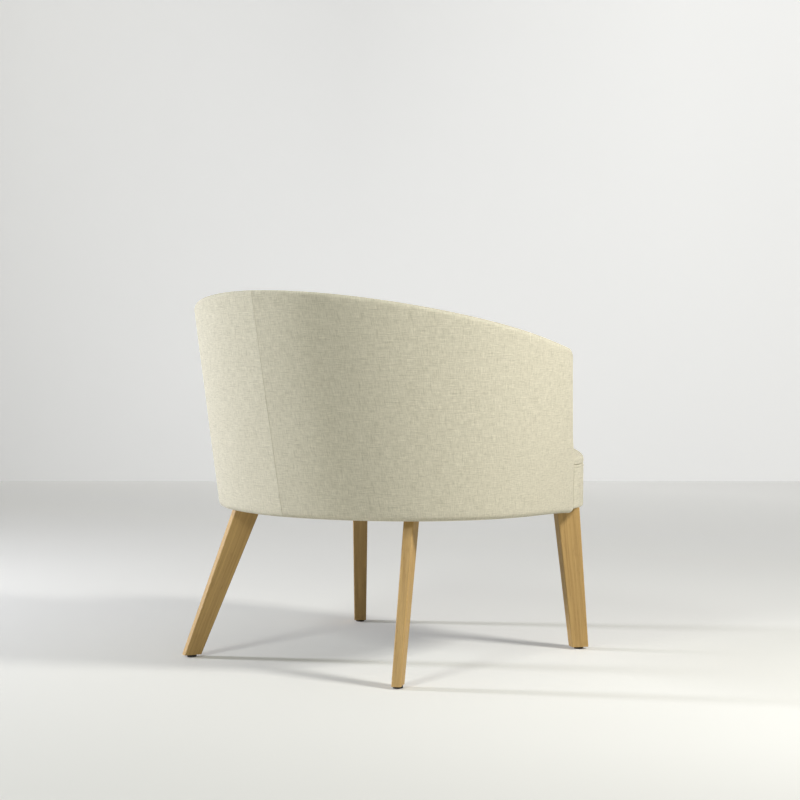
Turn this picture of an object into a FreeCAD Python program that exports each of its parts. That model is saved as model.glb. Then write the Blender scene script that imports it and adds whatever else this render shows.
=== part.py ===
import FreeCAD, Part
import Sketcher
import math
import os

# Lounge chair: an upholstered tub and seat on four splayed oak legs.
# The sitter faces -Y and +Z is up. The origin is on the floor, under the middle of the chair's box.
# The sheet below holds every driving size in millimetres, and every angle in degrees.

SIZES = [
    # Outline of the tub at its foot and at its back rim, as three tangent arcs on each side.
    ("tub_drop", 3.5, "underside of the tub below the underside of the seat"),
    ("tub_foot_back", 275.4, "centre to back, lower outline"),
    ("tub_rim_back", 361.9, "centre to back, upper outline, before rounding"),
    ("tub_foot_back_radius", 400.5, "arc behind the back, lower outline"),
    ("tub_rim_back_radius", 368.0, "arc behind the back, upper outline"),
    ("tub_foot_side_radius", 318.3, "arc at the shoulder, lower outline"),
    ("tub_rim_side_radius", 418.5, "arc at the shoulder, upper outline"),
    ("tub_foot_arm_radius", 715.0, "arc along the arm, lower outline"),
    ("tub_rim_arm_radius", 1410.0, "arc along the arm, upper outline"),
    ("tub_back_angle", 33.3, "where the back arc ends, from straight back"),
    ("tub_side_angle", 90.0, "where the shoulder arc ends, from straight back"),
    # Side view of the tub: one straight rim, and an arm front that leans back.
    ("rim_back_height", 727.5, "rim at the back, before rounding"),
    ("rim_fall", 112.0, "height lost from the back to the front of the arm"),
    ("arm_front_top", 149.9, "centre to the front of the arm, at the rim"),
    ("arm_front_low", 190.5, "centre to the front of the arm, at the foot"),
    ("arm_corner_radius", 22.0, "rounding from rim to arm front, seen from the side"),
    ("rim_edge_radius", 10.5, "rounding along the rim and the arm front"),
    ("tub_hem_radius", 10.0, "rounding along the underside"),
    # Layers of the upholstery.
    ("cover_thickness", 3.0, "cloth with its glued wadding"),
    ("layer_gap", 0.3, "air between neighbouring layers"),
    ("ply_thickness", 12.0, "bent plywood shell"),
    ("back_foam_thickness", 34.0, "foam on the inside of the shell"),
    ("ply_edge_set_in", 15.0, "foam wrapped over the edge of the plywood"),
    ("rim_seam_set_in", 15.0, "inner face to the seam between the covers"),
    ("base_rail_height", 52.0, "wooden rail along the foot of the tub"),
    # Seat.
    ("seat_underside", 300.0, "underside of the seat frame"),
    ("seat_clearance", 0.6, "air between seat and tub"),
    ("seat_front_reach", 358.9, "centre to the front of the seat"),
    ("seat_corner_x", 175.0, "centre of the front corner arc, sideways"),
    ("seat_corner_radius", 180.0, "front corner arc"),
    ("seat_front_bow", 11.0, "how far the front edge bows out beyond the corner arcs"),
    ("seat_border_height", 86.5, "underside of the seat to the seam of the top panel"),
    ("seat_crown_rise", 56.5, "seam to the top of the crown"),
    ("seat_crown_radius", 2200.0, "sphere of the crown"),
    ("seat_crown_forward", 41.6, "centre to the top of the crown, forwards"),
    ("seat_edge_radius", 22.0, "rounding over the front edge of the seat"),
    # Seat frame.
    ("rail_height", 55.0, "height of the four rails"),
    ("rail_thickness", 30.0, "thickness of the four rails"),
    ("front_rail_half", 205.0, "half the length of the front rail"),
    ("rear_rail_half", 120.0, "half the length of the rear rail"),
    ("corner_block_height", 45.0, "block in the corner above a leg"),
    ("corner_block_width", 84.0, "across the leg's line"),
    ("corner_block_reach", 104.0, "from the top of the leg inwards"),
    ("webbing_width", 50.0, "elastic webbing"),
    ("webbing_thickness", 1.5, "elastic webbing"),
    ("webbing_margin", 9.0, "outer face of the rail to the end of a band"),
    ("webbing_pitch", 92.0, "from band to band"),
    ("dust_cloth_thickness", 0.8, "cloth under the frame"),
    ("dust_cloth_margin", 7.0, "outer face of the rail to the cloth's edge"),
    ("dust_cloth_clearance", 2.0, "air round each leg plate"),
    # Legs, measured from the point on the floor below each one's glide.
    ("rear_foot_x", 263.0, "centre to rear glide, sideways"),
    ("rear_foot_y", 257.3, "centre to rear glide, backwards"),
    ("front_foot_x", 291.0, "centre to front glide, sideways"),
    ("front_foot_set_back", 54.1, "front of the seat to the front glide"),
    ("rear_leg_angle", 64.0, "angle of the board, from the X axis"),
    ("front_leg_angle", 50.0, "angle of the board, from the X axis"),
    ("rear_leg_rake", 120.0, "foot stands out from the top of the leg"),
    ("front_leg_rake", 28.0, "foot stands out from the top of the leg"),
    ("rear_leg_top_width", 54.5, "along the board"),
    ("rear_leg_top_depth", 19.5, "through the board"),
    ("rear_leg_foot_width", 35.5, "along the board"),
    ("rear_leg_foot_depth", 18.0, "through the board"),
    ("front_leg_top_width", 48.0, "along the board"),
    ("front_leg_top_depth", 34.0, "through the board"),
    ("front_leg_foot_width", 35.0, "along the board"),
    ("front_leg_foot_depth", 26.5, "through the board"),
    ("leg_edge_radius", 2.5, "eased edges"),
    # Leg plates and their fasteners.
    ("plate_thickness", 4.0, "steel plate on the leg"),
    ("plate_length", 82.0, "along the leg's line"),
    ("plate_width", 44.0, "across the leg's line"),
    ("plate_corner_radius", 4.0, "rounded corners of the plate"),
    ("rear_plate_set_in", 5.0, "middle of the leg's top to the plate's outer end, inwards"),
    ("front_plate_set_in", -19.0, "middle of the leg's top to the plate's outer end, inwards"),
    ("bolt_along", 8.5, "plate's outer end to the bolt"),
    ("bolt_radius", 3.0, "hanger bolt"),
    ("rear_bolt_in_leg", 17.0, "length of the bolt in the leg"),
    ("front_bolt_in_leg", 40.0, "length of the bolt in the leg"),
    ("bolt_in_rail", 30.0, "length of the bolt above the plate"),
    ("bolt_clearance", 0.15, "air round a bolt, screw or pin"),
    ("nut_radius", 5.0, "threaded insert in the rail"),
    ("nut_height", 22.0, "threaded insert in the rail"),
    ("screw_first", 46.0, "plate's outer end to the first screw"),
    ("screw_second", 72.0, "plate's outer end to the second screw"),
    ("screw_radius", 2.0, "wood screw"),
    ("screw_length", 28.0, "wood screw, with its head"),
    ("screw_head_radius", 4.2, "wood screw"),
    ("screw_head_height", 2.4, "countersunk head"),
    # Screws from the seat frame into the tub.
    ("tub_screw_radius", 2.5, "wood screw"),
    ("tub_screw_head_radius", 5.0, "pan head"),
    ("tub_screw_head_height", 3.0, "pan head"),
    ("tub_screw_bite", 22.0, "length of the screw in the base rail"),
    ("tub_screw_rise", 28.0, "underside of the seat to the screw"),
    # Glides.
    ("glide_radius", 9.5, "round foot"),
    ("glide_height", 4.8, "round foot"),
    ("glide_edge", 0.9, "chamfer on the floor side"),
    ("pin_radius", 1.6, "steel pin of the glide"),
    ("pin_in_glide", 2.6, "length of the pin in the foot"),
    ("pin_in_leg", 17.0, "length of the pin in the leg"),
    # Room for cuts to run past what they cut.
    ("overrun", 30.0, "how far a cutting body runs past the piece"),
]

# Plan angles of the screws that hold the tub, as shares of the shoulder's angle.
TUB_SCREW_SHARES = [-0.9, -0.62, -0.14, 0.14, 0.62, 0.9]
# Places of the webbing bands, from the middle of the frame, as shares of the pitch.
LENGTHWISE_SHARES = [-1.5, -0.5, 0.5, 1.5]
CROSSWISE_SHARES = [-2.0, -1.0, 0.0, 1.0]
# Each leg: name, end of the chair, side (+1 is the sitter's left).
LEGS = [("rear_left", "rear", 1), ("rear_right", "rear", -1),
        ("front_left", "front", 1), ("front_right", "front", -1)]

doc = FreeCAD.newDocument("lounge_chair")
Vector = FreeCAD.Vector
UP = Vector(0, 0, 1)

sheet = doc.addObject("Spreadsheet::Sheet", "sizes")
for row, (alias, value, note) in enumerate(SIZES, start=1):
    sheet.set("A%d" % row, note)
    sheet.set("B%d" % row, str(value))
    sheet.setAlias("B%d" % row, alias)
doc.recompute()

subparts = []


def size(alias):
    """Value of one named size."""
    return float(sheet.get(alias))


def bind(thing, **rules):
    """Tie an object's properties to the sheet. A dot in a property's name is written as two underscores."""
    for name, rule in rules.items():
        thing.setExpression(name.replace("__", "."), rule)


def keep(thing, label):
    """List an object as a sub-part that is written out under its label."""
    thing.Label = label
    subparts.append(thing)
    return thing


def soft_part(label, shape):
    """A sub-part whose shape is lofted and cut in code from the sheet's sizes."""
    thing = doc.addObject("Part::Feature", label)
    thing.Shape = shape if len(shape.Solids) > 1 else shape.Solids[0]
    return keep(thing, label)


# Heights and places that follow from the sizes

TUB_FOOT = size("seat_underside") - size("tub_drop")
SEAM_HEIGHT = size("seat_underside") + size("seat_border_height")
CROWN_HEIGHT = SEAM_HEIGHT + size("seat_crown_rise")
ARM_HEIGHT = size("rim_back_height") - size("rim_fall")
CORNER_REACH = size("seat_front_reach") - size("seat_front_bow") - size("seat_corner_radius")


def foot_y(end):
    """How far the glides of one end stand from the centre, lengthways."""
    if end == "rear":
        return size("rear_foot_y")
    return size("seat_front_reach") - size("front_foot_set_back")


# Outline of the tub

def between(low_alias, high_alias, height):
    """A size of the outline at one height, on the straight line from its lower to its upper value."""
    rise = (height - TUB_FOOT) / (size("rim_back_height") - TUB_FOOT)
    return size(low_alias) + (size(high_alias) - size(low_alias)) * rise


def arm_end_angle():
    """Angle at which the arm arc has run past the front of the arm, on its innermost layer."""
    foot = size("tub_foot_back") - size("tub_foot_back_radius")
    foot += math.cos(math.radians(size("tub_back_angle"))) * (
        size("tub_foot_back_radius") - size("tub_foot_side_radius"))
    run = foot + size("arm_front_low") + size("overrun")
    inner_radius = size("tub_foot_arm_radius") - tub_thickness()
    return math.radians(size("tub_side_angle")) + math.asin(run / inner_radius)


def tub_arcs(height, inset):
    """Right half of the outline, set in from the outer face: centre, radius, first and last angle."""
    back = between("tub_foot_back", "tub_rim_back", height)
    back_radius = between("tub_foot_back_radius", "tub_rim_back_radius", height)
    side_radius = between("tub_foot_side_radius", "tub_rim_side_radius", height)
    arm_radius = between("tub_foot_arm_radius", "tub_rim_arm_radius", height)
    back_angle = math.radians(size("tub_back_angle"))
    side_angle = math.radians(size("tub_side_angle"))
    back_centre = Vector(0, back - back_radius, height)
    step = back_radius - side_radius
    side_centre = back_centre + Vector(math.sin(back_angle) * step, math.cos(back_angle) * step, 0)
    step = side_radius - arm_radius
    arm_centre = side_centre + Vector(math.sin(side_angle) * step, math.cos(side_angle) * step, 0)
    end_angle = arm_end_angle()
    return [(back_centre, back_radius - inset, 0, back_angle),
            (side_centre, side_radius - inset, back_angle, side_angle),
            (arm_centre, arm_radius - inset, side_angle, end_angle)]


def on_arc(centre, radius, angle, side):
    """Point at an angle from straight back, on the right (+1) or left (-1) half."""
    across = side * (centre.x + radius * math.sin(angle))
    return Vector(across, centre.y + radius * math.cos(angle), centre.z)


def arc_edge(centre, radius, first, last, side):
    """Edge along one arc of the outline."""
    points = [on_arc(centre, radius, angle, side) for angle in (first, (first + last) / 2, last)]
    return Part.Arc(*points).toShape()


def line_edge(first, last):
    """Straight edge between two points."""
    return Part.LineSegment(first, last).toShape()


def closed_wire(edges):
    """One closed wire from edges that meet end to end."""
    return Part.Wire(Part.__sortEdges__(edges))


def tub_band_wire(height, outer, inner):
    """Closed outline of the band between two insets at one height."""
    edges = []
    for side in (1, -1):
        ends = []
        for inset in (outer, inner):
            arcs = tub_arcs(height, inset)
            edges += [arc_edge(*arc, side) for arc in arcs]
            centre, radius, first, last = arcs[-1]
            ends.append(on_arc(centre, radius, last, side))
        edges.append(line_edge(*ends))
    return closed_wire(edges)


def tub_band(outer, inner):
    """Wall of the tub between two insets, from the foot to well above the rim, open at the front."""
    heights = (TUB_FOOT, size("rim_back_height") + size("overrun"))
    wires = [tub_band_wire(height, outer, inner) for height in heights]
    return Part.makeLoft(wires, True, True)


# Side view of the tub

def offset_corner(corner, before, after, inset):
    """Corner of a profile, moved in by the inset from both of its sides (the profile runs clockwise)."""
    first = (corner - before).normalize()
    second = (after - corner).normalize()
    first_normal = Vector(0, first.z, -first.y)
    second_normal = Vector(0, second.z, -second.y)
    return corner + (first_normal + second_normal) * (inset / (1 + first_normal.dot(second_normal)))


def side_profile(inset, lift):
    """Body with the tub's side view, across its whole width. Insets bring in the rim and the arm front."""
    foot = TUB_FOOT
    low_front = Vector(0, -size("arm_front_low"), foot)
    top_front = Vector(0, -size("arm_front_top"), ARM_HEIGHT)
    top_back = Vector(0, size("tub_rim_back"), size("rim_back_height"))
    slope = (top_back - top_front).normalize()
    far_back = top_back + slope * size("overrun")
    corner = offset_corner(top_front, low_front, far_back, inset)
    rim_shift = offset_corner(far_back, top_front, far_back + slope * size("overrun"), inset)
    lean = (top_front - low_front).normalize()
    front_shift = offset_corner(low_front, low_front - lean * size("overrun"), top_front, inset)
    start = front_shift + lean * ((foot + lift - front_shift.z) / lean.z)
    end = Vector(0, rim_shift.y, foot + lift)
    width = size("tub_rim_side_radius") + size("tub_rim_back_radius")
    points = [start, corner, rim_shift, end]
    face = Part.Face(Part.makePolygon([point - Vector(width, 0, 0) for point in points + [start]]))
    body = face.extrude(Vector(2 * width, 0, 0))
    radius = size("arm_corner_radius") - inset
    if radius > 0:
        edges = [edge for edge in body.Edges if edge.CenterOfMass.isEqual(corner, size("layer_gap"))]
        body = body.makeFillet(radius, edges)
    return body


def sharp_edges(shape, wanted):
    """Edges of a solid that are not smooth and whose middle the test accepts."""
    found = []
    for edge in shape.Edges:
        middle = edge.valueAt((edge.FirstParameter + edge.LastParameter) / 2)
        if not wanted(middle):
            continue
        normals = []
        for face in shape.ancestorsOfType(edge, Part.Face):
            u, v = face.Surface.parameter(middle)
            normals.append(face.normalAt(u, v))
        if len(normals) == 2 and normals[0].getAngle(normals[1]) > math.radians(30):
            found.append(edge)
    return found


def tub_thickness():
    """Whole wall of the tub, cover to cover."""
    return (2 * size("cover_thickness") + 3 * size("layer_gap") + size("ply_thickness")
            + size("back_foam_thickness"))


def tub_envelope(inset):
    """Rounded wall of the tub, set in on every side."""
    wall = tub_band(inset, tub_thickness() - inset).common(side_profile(inset, inset)).Solids[0]
    foot = TUB_FOOT + inset + size("layer_gap")
    wall = wall.makeFillet(size("rim_edge_radius") - inset, sharp_edges(wall, lambda point: point.z > foot))
    return wall.makeFillet(size("tub_hem_radius") - inset, sharp_edges(wall, lambda point: point.z < foot))


def block_below(height):
    """Box from the floor to a height, wider and deeper than the chair."""
    reach = 2 * size("tub_rim_back") + size("overrun")
    box = Part.makeBox(2 * reach, 2 * reach, height)
    box.translate(Vector(-reach, -reach, 0))
    return box


def half_space(side, gap):
    """Box on one side of the chair's middle plane."""
    reach = 2 * size("tub_rim_back") + size("overrun")
    box = Part.makeBox(reach, 2 * reach, reach)
    box.translate(Vector(gap / 2 if side > 0 else -reach - gap / 2, -reach, 0))
    return box


# Outline of the seat

def arm_front(height):
    """How far forward the front of the arm stands at one height."""
    rise = (height - TUB_FOOT) / (ARM_HEIGHT - TUB_FOOT)
    return size("arm_front_low") + (size("arm_front_top") - size("arm_front_low")) * rise


def front_arc_radius():
    """Radius of the seat's front edge, tangent to both corner arcs."""
    across = size("seat_corner_x")
    reach = size("seat_front_reach") - CORNER_REACH
    corner = size("seat_corner_radius")
    return (across ** 2 + reach ** 2 - corner ** 2) / (2 * (reach - corner))


def seat_wire(height, inset):
    """Closed outline of the seat: it fills the tub and widens in front of the arms."""
    arcs = tub_arcs(height, tub_thickness() + size("seat_clearance") + inset)
    shoulder = -(arm_front(height) + size("seat_clearance") + inset)
    centre, radius, first, last = arcs[2]
    arcs[2] = (centre, radius, first, math.acos((shoulder - centre.y) / radius))
    corner_radius = size("seat_corner_radius") - inset
    corner = Vector(size("seat_corner_x"), -CORNER_REACH, height)
    front_radius = front_arc_radius()
    front = Vector(0, front_radius - size("seat_front_reach"), height)
    corner_first = math.acos((shoulder - corner.y) / corner_radius)
    corner_last = math.pi - math.atan2(corner.x, front.y - corner.y)
    edges = []
    for side in (1, -1):
        edges += [arc_edge(*arc, side) for arc in arcs]
        edges.append(line_edge(on_arc(*arcs[2][:2], arcs[2][3], side),
                               on_arc(corner, corner_radius, corner_first, side)))
        edges.append(arc_edge(corner, corner_radius, corner_first, corner_last, side))
        edges.append(arc_edge(front, front_radius - inset, corner_last, math.pi, side))
    return closed_wire(edges)


def seat_block(inset, bottom, top):
    """Body with the seat's outline between two heights."""
    return Part.makeLoft([seat_wire(bottom, inset), seat_wire(top, inset)], True, True)


def crowned_block(inset, bottom):
    """Top of the seat: a crown, rounded down at its free front edge."""
    radius = size("seat_crown_radius") - inset
    sphere = Part.makeSphere(radius)
    sphere.translate(Vector(0, -size("seat_crown_forward"), CROWN_HEIGHT - inset - radius))
    block = seat_block(inset, bottom, CROWN_HEIGHT + size("overrun"))
    block = block.common(sphere).Solids[0]
    front = -arm_front(bottom) - size("seat_clearance") - inset
    margin = size("layer_gap")

    def free_edge(point):
        return point.z > bottom + margin and point.y < front - size("seat_edge_radius")
    return block.makeFillet(size("seat_edge_radius") - inset, sharp_edges(block, free_edge))


# Places on the line of each leg

def leg_spot(leg, inwards):
    """Rules for the place on the leg's line at a distance inwards from its foot, across and along."""
    name, end, side = leg
    across = "%+d * (sizes.%s_foot_x - (%s) * cos(sizes.%s_leg_angle))" % (side, end, inwards, end)
    reach, sign = "sizes.rear_foot_y", 1
    if end == "front":
        reach, sign = "sizes.seat_front_reach - sizes.front_foot_set_back", -1
    along = "%+d * (%s - (%s) * sin(sizes.%s_leg_angle))" % (sign, reach, inwards, end)
    return across, along


def leg_turn(leg):
    """Rule for the leg's angle about +Z, so that its own X axis points outwards."""
    name, end, side = leg
    sign = (1 if end == "rear" else -1) * side
    base = 0 if side > 0 else 180
    return "%d %+d * sizes.%s_leg_angle" % (base, sign, end)


def stand_on_leg_line(thing, leg):
    """Put a body's own origin at the leg's foot, with its X axis outwards."""
    thing.Placement = FreeCAD.Placement(Vector(0, 0, 0), FreeCAD.Rotation(UP, 1))
    across, along = leg_spot(leg, "0")
    bind(thing, Placement__Base__x=across, Placement__Base__y=along,
         Placement__Rotation__Angle=leg_turn(leg))


def body_sketch(body, name, inwards, height):
    """Sketch on a body's ground plane, moved in along X and up by two rules."""
    sketch = body.newObject("Sketcher::SketchObject", name)
    plane = [item for item in body.Origin.OriginFeatures if item.Role == "XY_Plane"][0]
    sketch.AttachmentSupport = (plane, [""])
    sketch.MapMode = "FlatFace"
    bind(sketch, AttachmentOffset__Base__x="-(%s)" % inwards, AttachmentOffset__Base__z=height)
    return sketch


def draw_rectangle(sketch, width, depth, radius):
    """Rectangle with rounded corners about the sketch's origin, its three sizes bound to the sheet."""
    out_x = size(width) / 2
    out_y = size(depth) / 2
    arc = size(radius)
    in_x = out_x - arc
    in_y = out_y - arc
    right = math.pi / 2
    runs = [((-in_x, -out_y), (in_x, -out_y), (in_x, -in_y), -right),
            ((out_x, -in_y), (out_x, in_y), (in_x, in_y), 0),
            ((in_x, out_y), (-in_x, out_y), (-in_x, in_y), right),
            ((-out_x, in_y), (-out_x, -in_y), (-in_x, -in_y), 2 * right)]
    for start, end, centre, first in runs:
        sketch.addGeometry(Part.LineSegment(Vector(*start, 0), Vector(*end, 0)), False)
        circle = Part.Circle(Vector(*centre, 0), UP, arc)
        sketch.addGeometry(Part.ArcOfCircle(circle, first, first + right), False)
    for item in range(8):
        sketch.addConstraint(Sketcher.Constraint("Tangent", item, 2, (item + 1) % 8, 1))
    for line in (0, 4):
        sketch.addConstraint(Sketcher.Constraint("Horizontal", line))
        sketch.addConstraint(Sketcher.Constraint("Vertical", line + 2))
    for corner in (3, 5, 7):
        sketch.addConstraint(Sketcher.Constraint("Equal", 1, corner))
    sketch.addConstraint(Sketcher.Constraint("Symmetric", 1, 3, 5, 3, -1, 1))
    across = sketch.addConstraint(Sketcher.Constraint("DistanceX", 6, 1, 2, 1, 2 * out_x))
    along = sketch.addConstraint(Sketcher.Constraint("DistanceY", 0, 1, 4, 1, 2 * out_y))
    bend = sketch.addConstraint(Sketcher.Constraint("Radius", 1, arc))
    bind(sketch, **{"Constraints[%d]" % across: "sizes." + width,
                    "Constraints[%d]" % along: "sizes." + depth,
                    "Constraints[%d]" % bend: "sizes." + radius})


def draw_circle(sketch, radius_rule, start_radius, offset_rule=None, start_offset=0):
    """Circle on the sketch's X axis with a bound radius and a bound distance from the origin."""
    circle = sketch.addGeometry(Part.Circle(Vector(start_offset, 0, 0), UP, start_radius), False)
    if offset_rule is None:
        sketch.addConstraint(Sketcher.Constraint("Coincident", circle, 3, -1, 1))
    else:
        sketch.addConstraint(Sketcher.Constraint("PointOnObject", circle, 3, -1))
        place = sketch.addConstraint(Sketcher.Constraint("DistanceX", -1, 1, circle, 3, start_offset))
        bind(sketch, **{"Constraints[%d]" % place: offset_rule})
    across = sketch.addConstraint(Sketcher.Constraint("Radius", circle, start_radius))
    bind(sketch, **{"Constraints[%d]" % across: radius_rule})


# Upholstery of the tub: covers, foam, bent plywood and base rail

cover = size("cover_thickness")
gap = size("layer_gap")
wall = tub_thickness()
ply_outer = cover + gap
ply_inner = ply_outer + size("ply_thickness")
foam_outer = ply_inner + gap
foam_inner = wall - cover - gap
rail_top = TUB_FOOT + size("base_rail_height")
seam = wall - size("rim_seam_set_in")
past = size("overrun")

cover_shell = tub_envelope(0).cut(tub_envelope(cover))
outer_cover = cover_shell.common(tub_band(-past, seam))
inner_cover = cover_shell.common(tub_band(seam + gap, wall + past))
core = tub_envelope(ply_outer)
ply_side = side_profile(size("ply_edge_set_in"), 0)
ply_shell = core.common(tub_band(-past, ply_inner)).common(ply_side)
ply_room = tub_band(-past, foam_outer).common(side_profile(size("ply_edge_set_in") - gap, 0))
back_foam = core.cut(ply_room).cut(block_below(rail_top + gap))
base_rail = core.common(tub_band(foam_outer, wall + past)).common(ply_side).common(block_below(rail_top))

# Seat: border, crowned top panel and foam

frame_bottom = size("seat_underside")
frame_top = frame_bottom + size("rail_height")
webbing_top = frame_top + 2 * size("webbing_thickness")
frame_outer = cover + gap
frame_inner = frame_outer + size("rail_thickness")

border = seat_block(0, frame_bottom, SEAM_HEIGHT).cut(seat_block(cover, frame_bottom, SEAM_HEIGHT))
top_cover = crowned_block(0, SEAM_HEIGHT + gap).cut(crowned_block(cover, SEAM_HEIGHT + gap))
seat_foam = crowned_block(frame_outer, webbing_top + gap)

# Seat frame: a ring cut into four shaped rails, with a block in each corner

ring = seat_block(frame_outer, frame_bottom, frame_top).cut(seat_block(frame_inner, frame_bottom, frame_top))


def plan_box(left, right, front, back, bottom, top):
    """Upright box between limits."""
    box = Part.makeBox(right - left, back - front, top - bottom)
    box.translate(Vector(left, front, bottom))
    return box


far = size("seat_front_reach") + past
middle = -size("seat_crown_forward")
front_half = size("front_rail_half")
rear_half = size("rear_rail_half")
front_rail = ring.common(plan_box(-front_half, front_half, -far, middle, frame_bottom, frame_top))
rear_rail = ring.common(plan_box(-rear_half, rear_half, middle, far, frame_bottom, frame_top))
side_rails = {}
for side, name in ((1, "left"), (-1, "right")):
    front_part = sorted((side * front_half, side * far))
    rear_part = sorted((side * rear_half, side * far))
    room = plan_box(*front_part, -far, middle, frame_bottom, frame_top)
    room = room.fuse(plan_box(*rear_part, middle, far, frame_bottom, frame_top)).removeSplitter()
    side_rails[name] = ring.common(room)


def leg_point(leg, inwards, height):
    """Place on the leg's line at a distance inwards from its foot."""
    name, end, side = leg
    turn = math.radians(size(end + "_leg_angle"))
    x = side * (size(end + "_foot_x") - inwards * math.cos(turn))
    y = foot_y(end) - inwards * math.sin(turn)
    return Vector(x, y if end == "rear" else -y, height)


def leg_box(leg, start, length, width, bottom, top):
    """Box along the leg's line, from a distance inwards of the leg's top."""
    name, end, side = leg
    rake = size(end + "_leg_rake")
    outer = leg_point(leg, rake + start, bottom)
    inner = leg_point(leg, rake + start + length, bottom)
    run = (inner - outer).normalize()
    across = Vector(-run.y, run.x, 0) * (width / 2)
    corners = [outer - across, outer + across, inner + across, inner - across]
    face = Part.Face(Part.makePolygon(corners + corners[:1]))
    return face.extrude(UP * (top - bottom))


block_top = frame_bottom + size("corner_block_height")
inside = seat_block(frame_inner + gap, frame_bottom, block_top)
corner_blocks = {}
for leg in LEGS:
    reach = size("corner_block_reach")
    room = leg_box(leg, 0, reach, size("corner_block_width"), frame_bottom, block_top)
    corner_blocks[leg[0]] = inside.common(room)

# Elastic webbing, lengthwise bands on the rails and crosswise bands on those

webbing = {}
band_half = size("webbing_width") / 2
layer = size("webbing_thickness")
net = seat_block(frame_outer + size("webbing_margin"), frame_top, webbing_top)
for number, share in enumerate(LENGTHWISE_SHARES, start=1):
    x = share * size("webbing_pitch")
    room = plan_box(x - band_half, x + band_half, -far, far, frame_top, frame_top + layer)
    webbing["webbing_lengthwise_%d" % number] = net.common(room)
for number, share in enumerate(CROSSWISE_SHARES, start=1):
    y = middle + share * size("webbing_pitch")
    room = plan_box(-far, far, y - band_half, y + band_half, frame_top + layer, webbing_top)
    webbing["webbing_crosswise_%d" % number] = net.common(room)

# Dust cloth under the frame, cut out round the leg plates

cloth_bottom = frame_bottom - size("dust_cloth_thickness")
dust_cloth = seat_block(frame_outer + size("dust_cloth_margin"), cloth_bottom, frame_bottom)
for leg in LEGS:
    air = size("dust_cloth_clearance")
    length = size("plate_length") + 2 * air
    width = size("plate_width") + 2 * air
    start = size(leg[1] + "_plate_set_in") - air
    dust_cloth = dust_cloth.cut(leg_box(leg, start, length, width, cloth_bottom, frame_bottom))

# Screws from the seat frame into the tub's base rail

screw_height = frame_bottom + size("tub_screw_rise")
screw_air = size("bolt_clearance")
lean = (size("tub_rim_back") - size("tub_foot_back")) / (size("rim_back_height") - TUB_FOOT)
head_gap = gap + lean * size("tub_screw_head_radius")
tub_screws = []
tub_screw_room = []
for share in TUB_SCREW_SHARES:
    angle = abs(share) * math.radians(size("tub_side_angle"))
    side = 1 if share > 0 else -1
    arc = [arc for arc in tub_arcs(screw_height, 0) if arc[2] <= angle <= arc[3]][0]
    outward = Vector(side * math.sin(angle), math.cos(angle), 0)
    face_point = on_arc(arc[0], arc[1], angle, side)
    head = face_point - outward * (wall + size("seat_clearance") + frame_inner + head_gap)
    tip_depth = foam_inner - size("tub_screw_bite")
    length = (face_point - head).Length - tip_depth
    shank = Part.makeCylinder(size("tub_screw_radius"), length, head, outward)
    cap = Part.makeCylinder(size("tub_screw_head_radius"), size("tub_screw_head_height"), head,
                            outward * -1)
    tub_screws.append(shank.fuse(cap).removeSplitter())
    tub_screw_room.append(Part.makeCylinder(size("tub_screw_radius") + screw_air, length + screw_air,
                                            head, outward))
tub_screw_room = Part.makeCompound(tub_screw_room)

# Holes in the rails for the leg bolts and their inserts, and in the blocks for the plate screws

leg_top = frame_bottom - size("plate_thickness")
bolt_room = []
screw_room = []
for leg in LEGS:
    start = size(leg[1] + "_leg_rake") + size(leg[1] + "_plate_set_in")
    foot = leg_point(leg, start + size("bolt_along"), frame_bottom)
    for radius, depth in (("bolt_radius", "bolt_in_rail"), ("nut_radius", "nut_height")):
        bolt_room.append(Part.makeCylinder(size(radius) + screw_air, size(depth) + screw_air, foot))
    for distance in ("screw_first", "screw_second"):
        foot = leg_point(leg, start + size(distance), frame_bottom)
        depth = size("screw_length") - size("plate_thickness") + screw_air
        screw_room.append(Part.makeCylinder(size("screw_radius") + screw_air, depth, foot))
bolt_room = Part.makeCompound(bolt_room)
screw_room = Part.makeCompound(screw_room)

seam_gap = size("layer_gap")
for side, name in ((1, "left"), (-1, "right")):
    soft_part("outer_cover_" + name, outer_cover.common(half_space(side, seam_gap)))
soft_part("inner_cover", inner_cover.cut(tub_screw_room))
soft_part("back_foam", back_foam)
soft_part("plywood_shell", ply_shell)
soft_part("tub_base_rail", base_rail.cut(tub_screw_room))
soft_part("seat_border", border.cut(tub_screw_room))
soft_part("seat_top_cover", top_cover)
soft_part("seat_foam", seat_foam)
soft_part("frame_rail_front", front_rail.cut(bolt_room))
soft_part("frame_rail_rear", rear_rail.cut(tub_screw_room))
for name, rail in side_rails.items():
    soft_part("frame_rail_" + name, rail.cut(tub_screw_room).cut(bolt_room))
for name, block in corner_blocks.items():
    soft_part("corner_block_" + name, block.cut(screw_room).cut(bolt_room))
for name, band in webbing.items():
    soft_part(name, band)
soft_part("dust_cloth", dust_cloth)
soft_part("tub_screws", Part.makeCompound(tub_screws))

# Legs: tapered boards with eased edges, bored for the bolt above and the glide's pin below

LEG_TOP_RULE = "sizes.seat_underside - sizes.plate_thickness"


def plate_rule(end, along):
    """Rule for a distance inwards from the leg's foot, given from the plate's outer end."""
    return "sizes.%s_leg_rake + sizes.%s_plate_set_in + %s" % (end, end, along)


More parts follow.
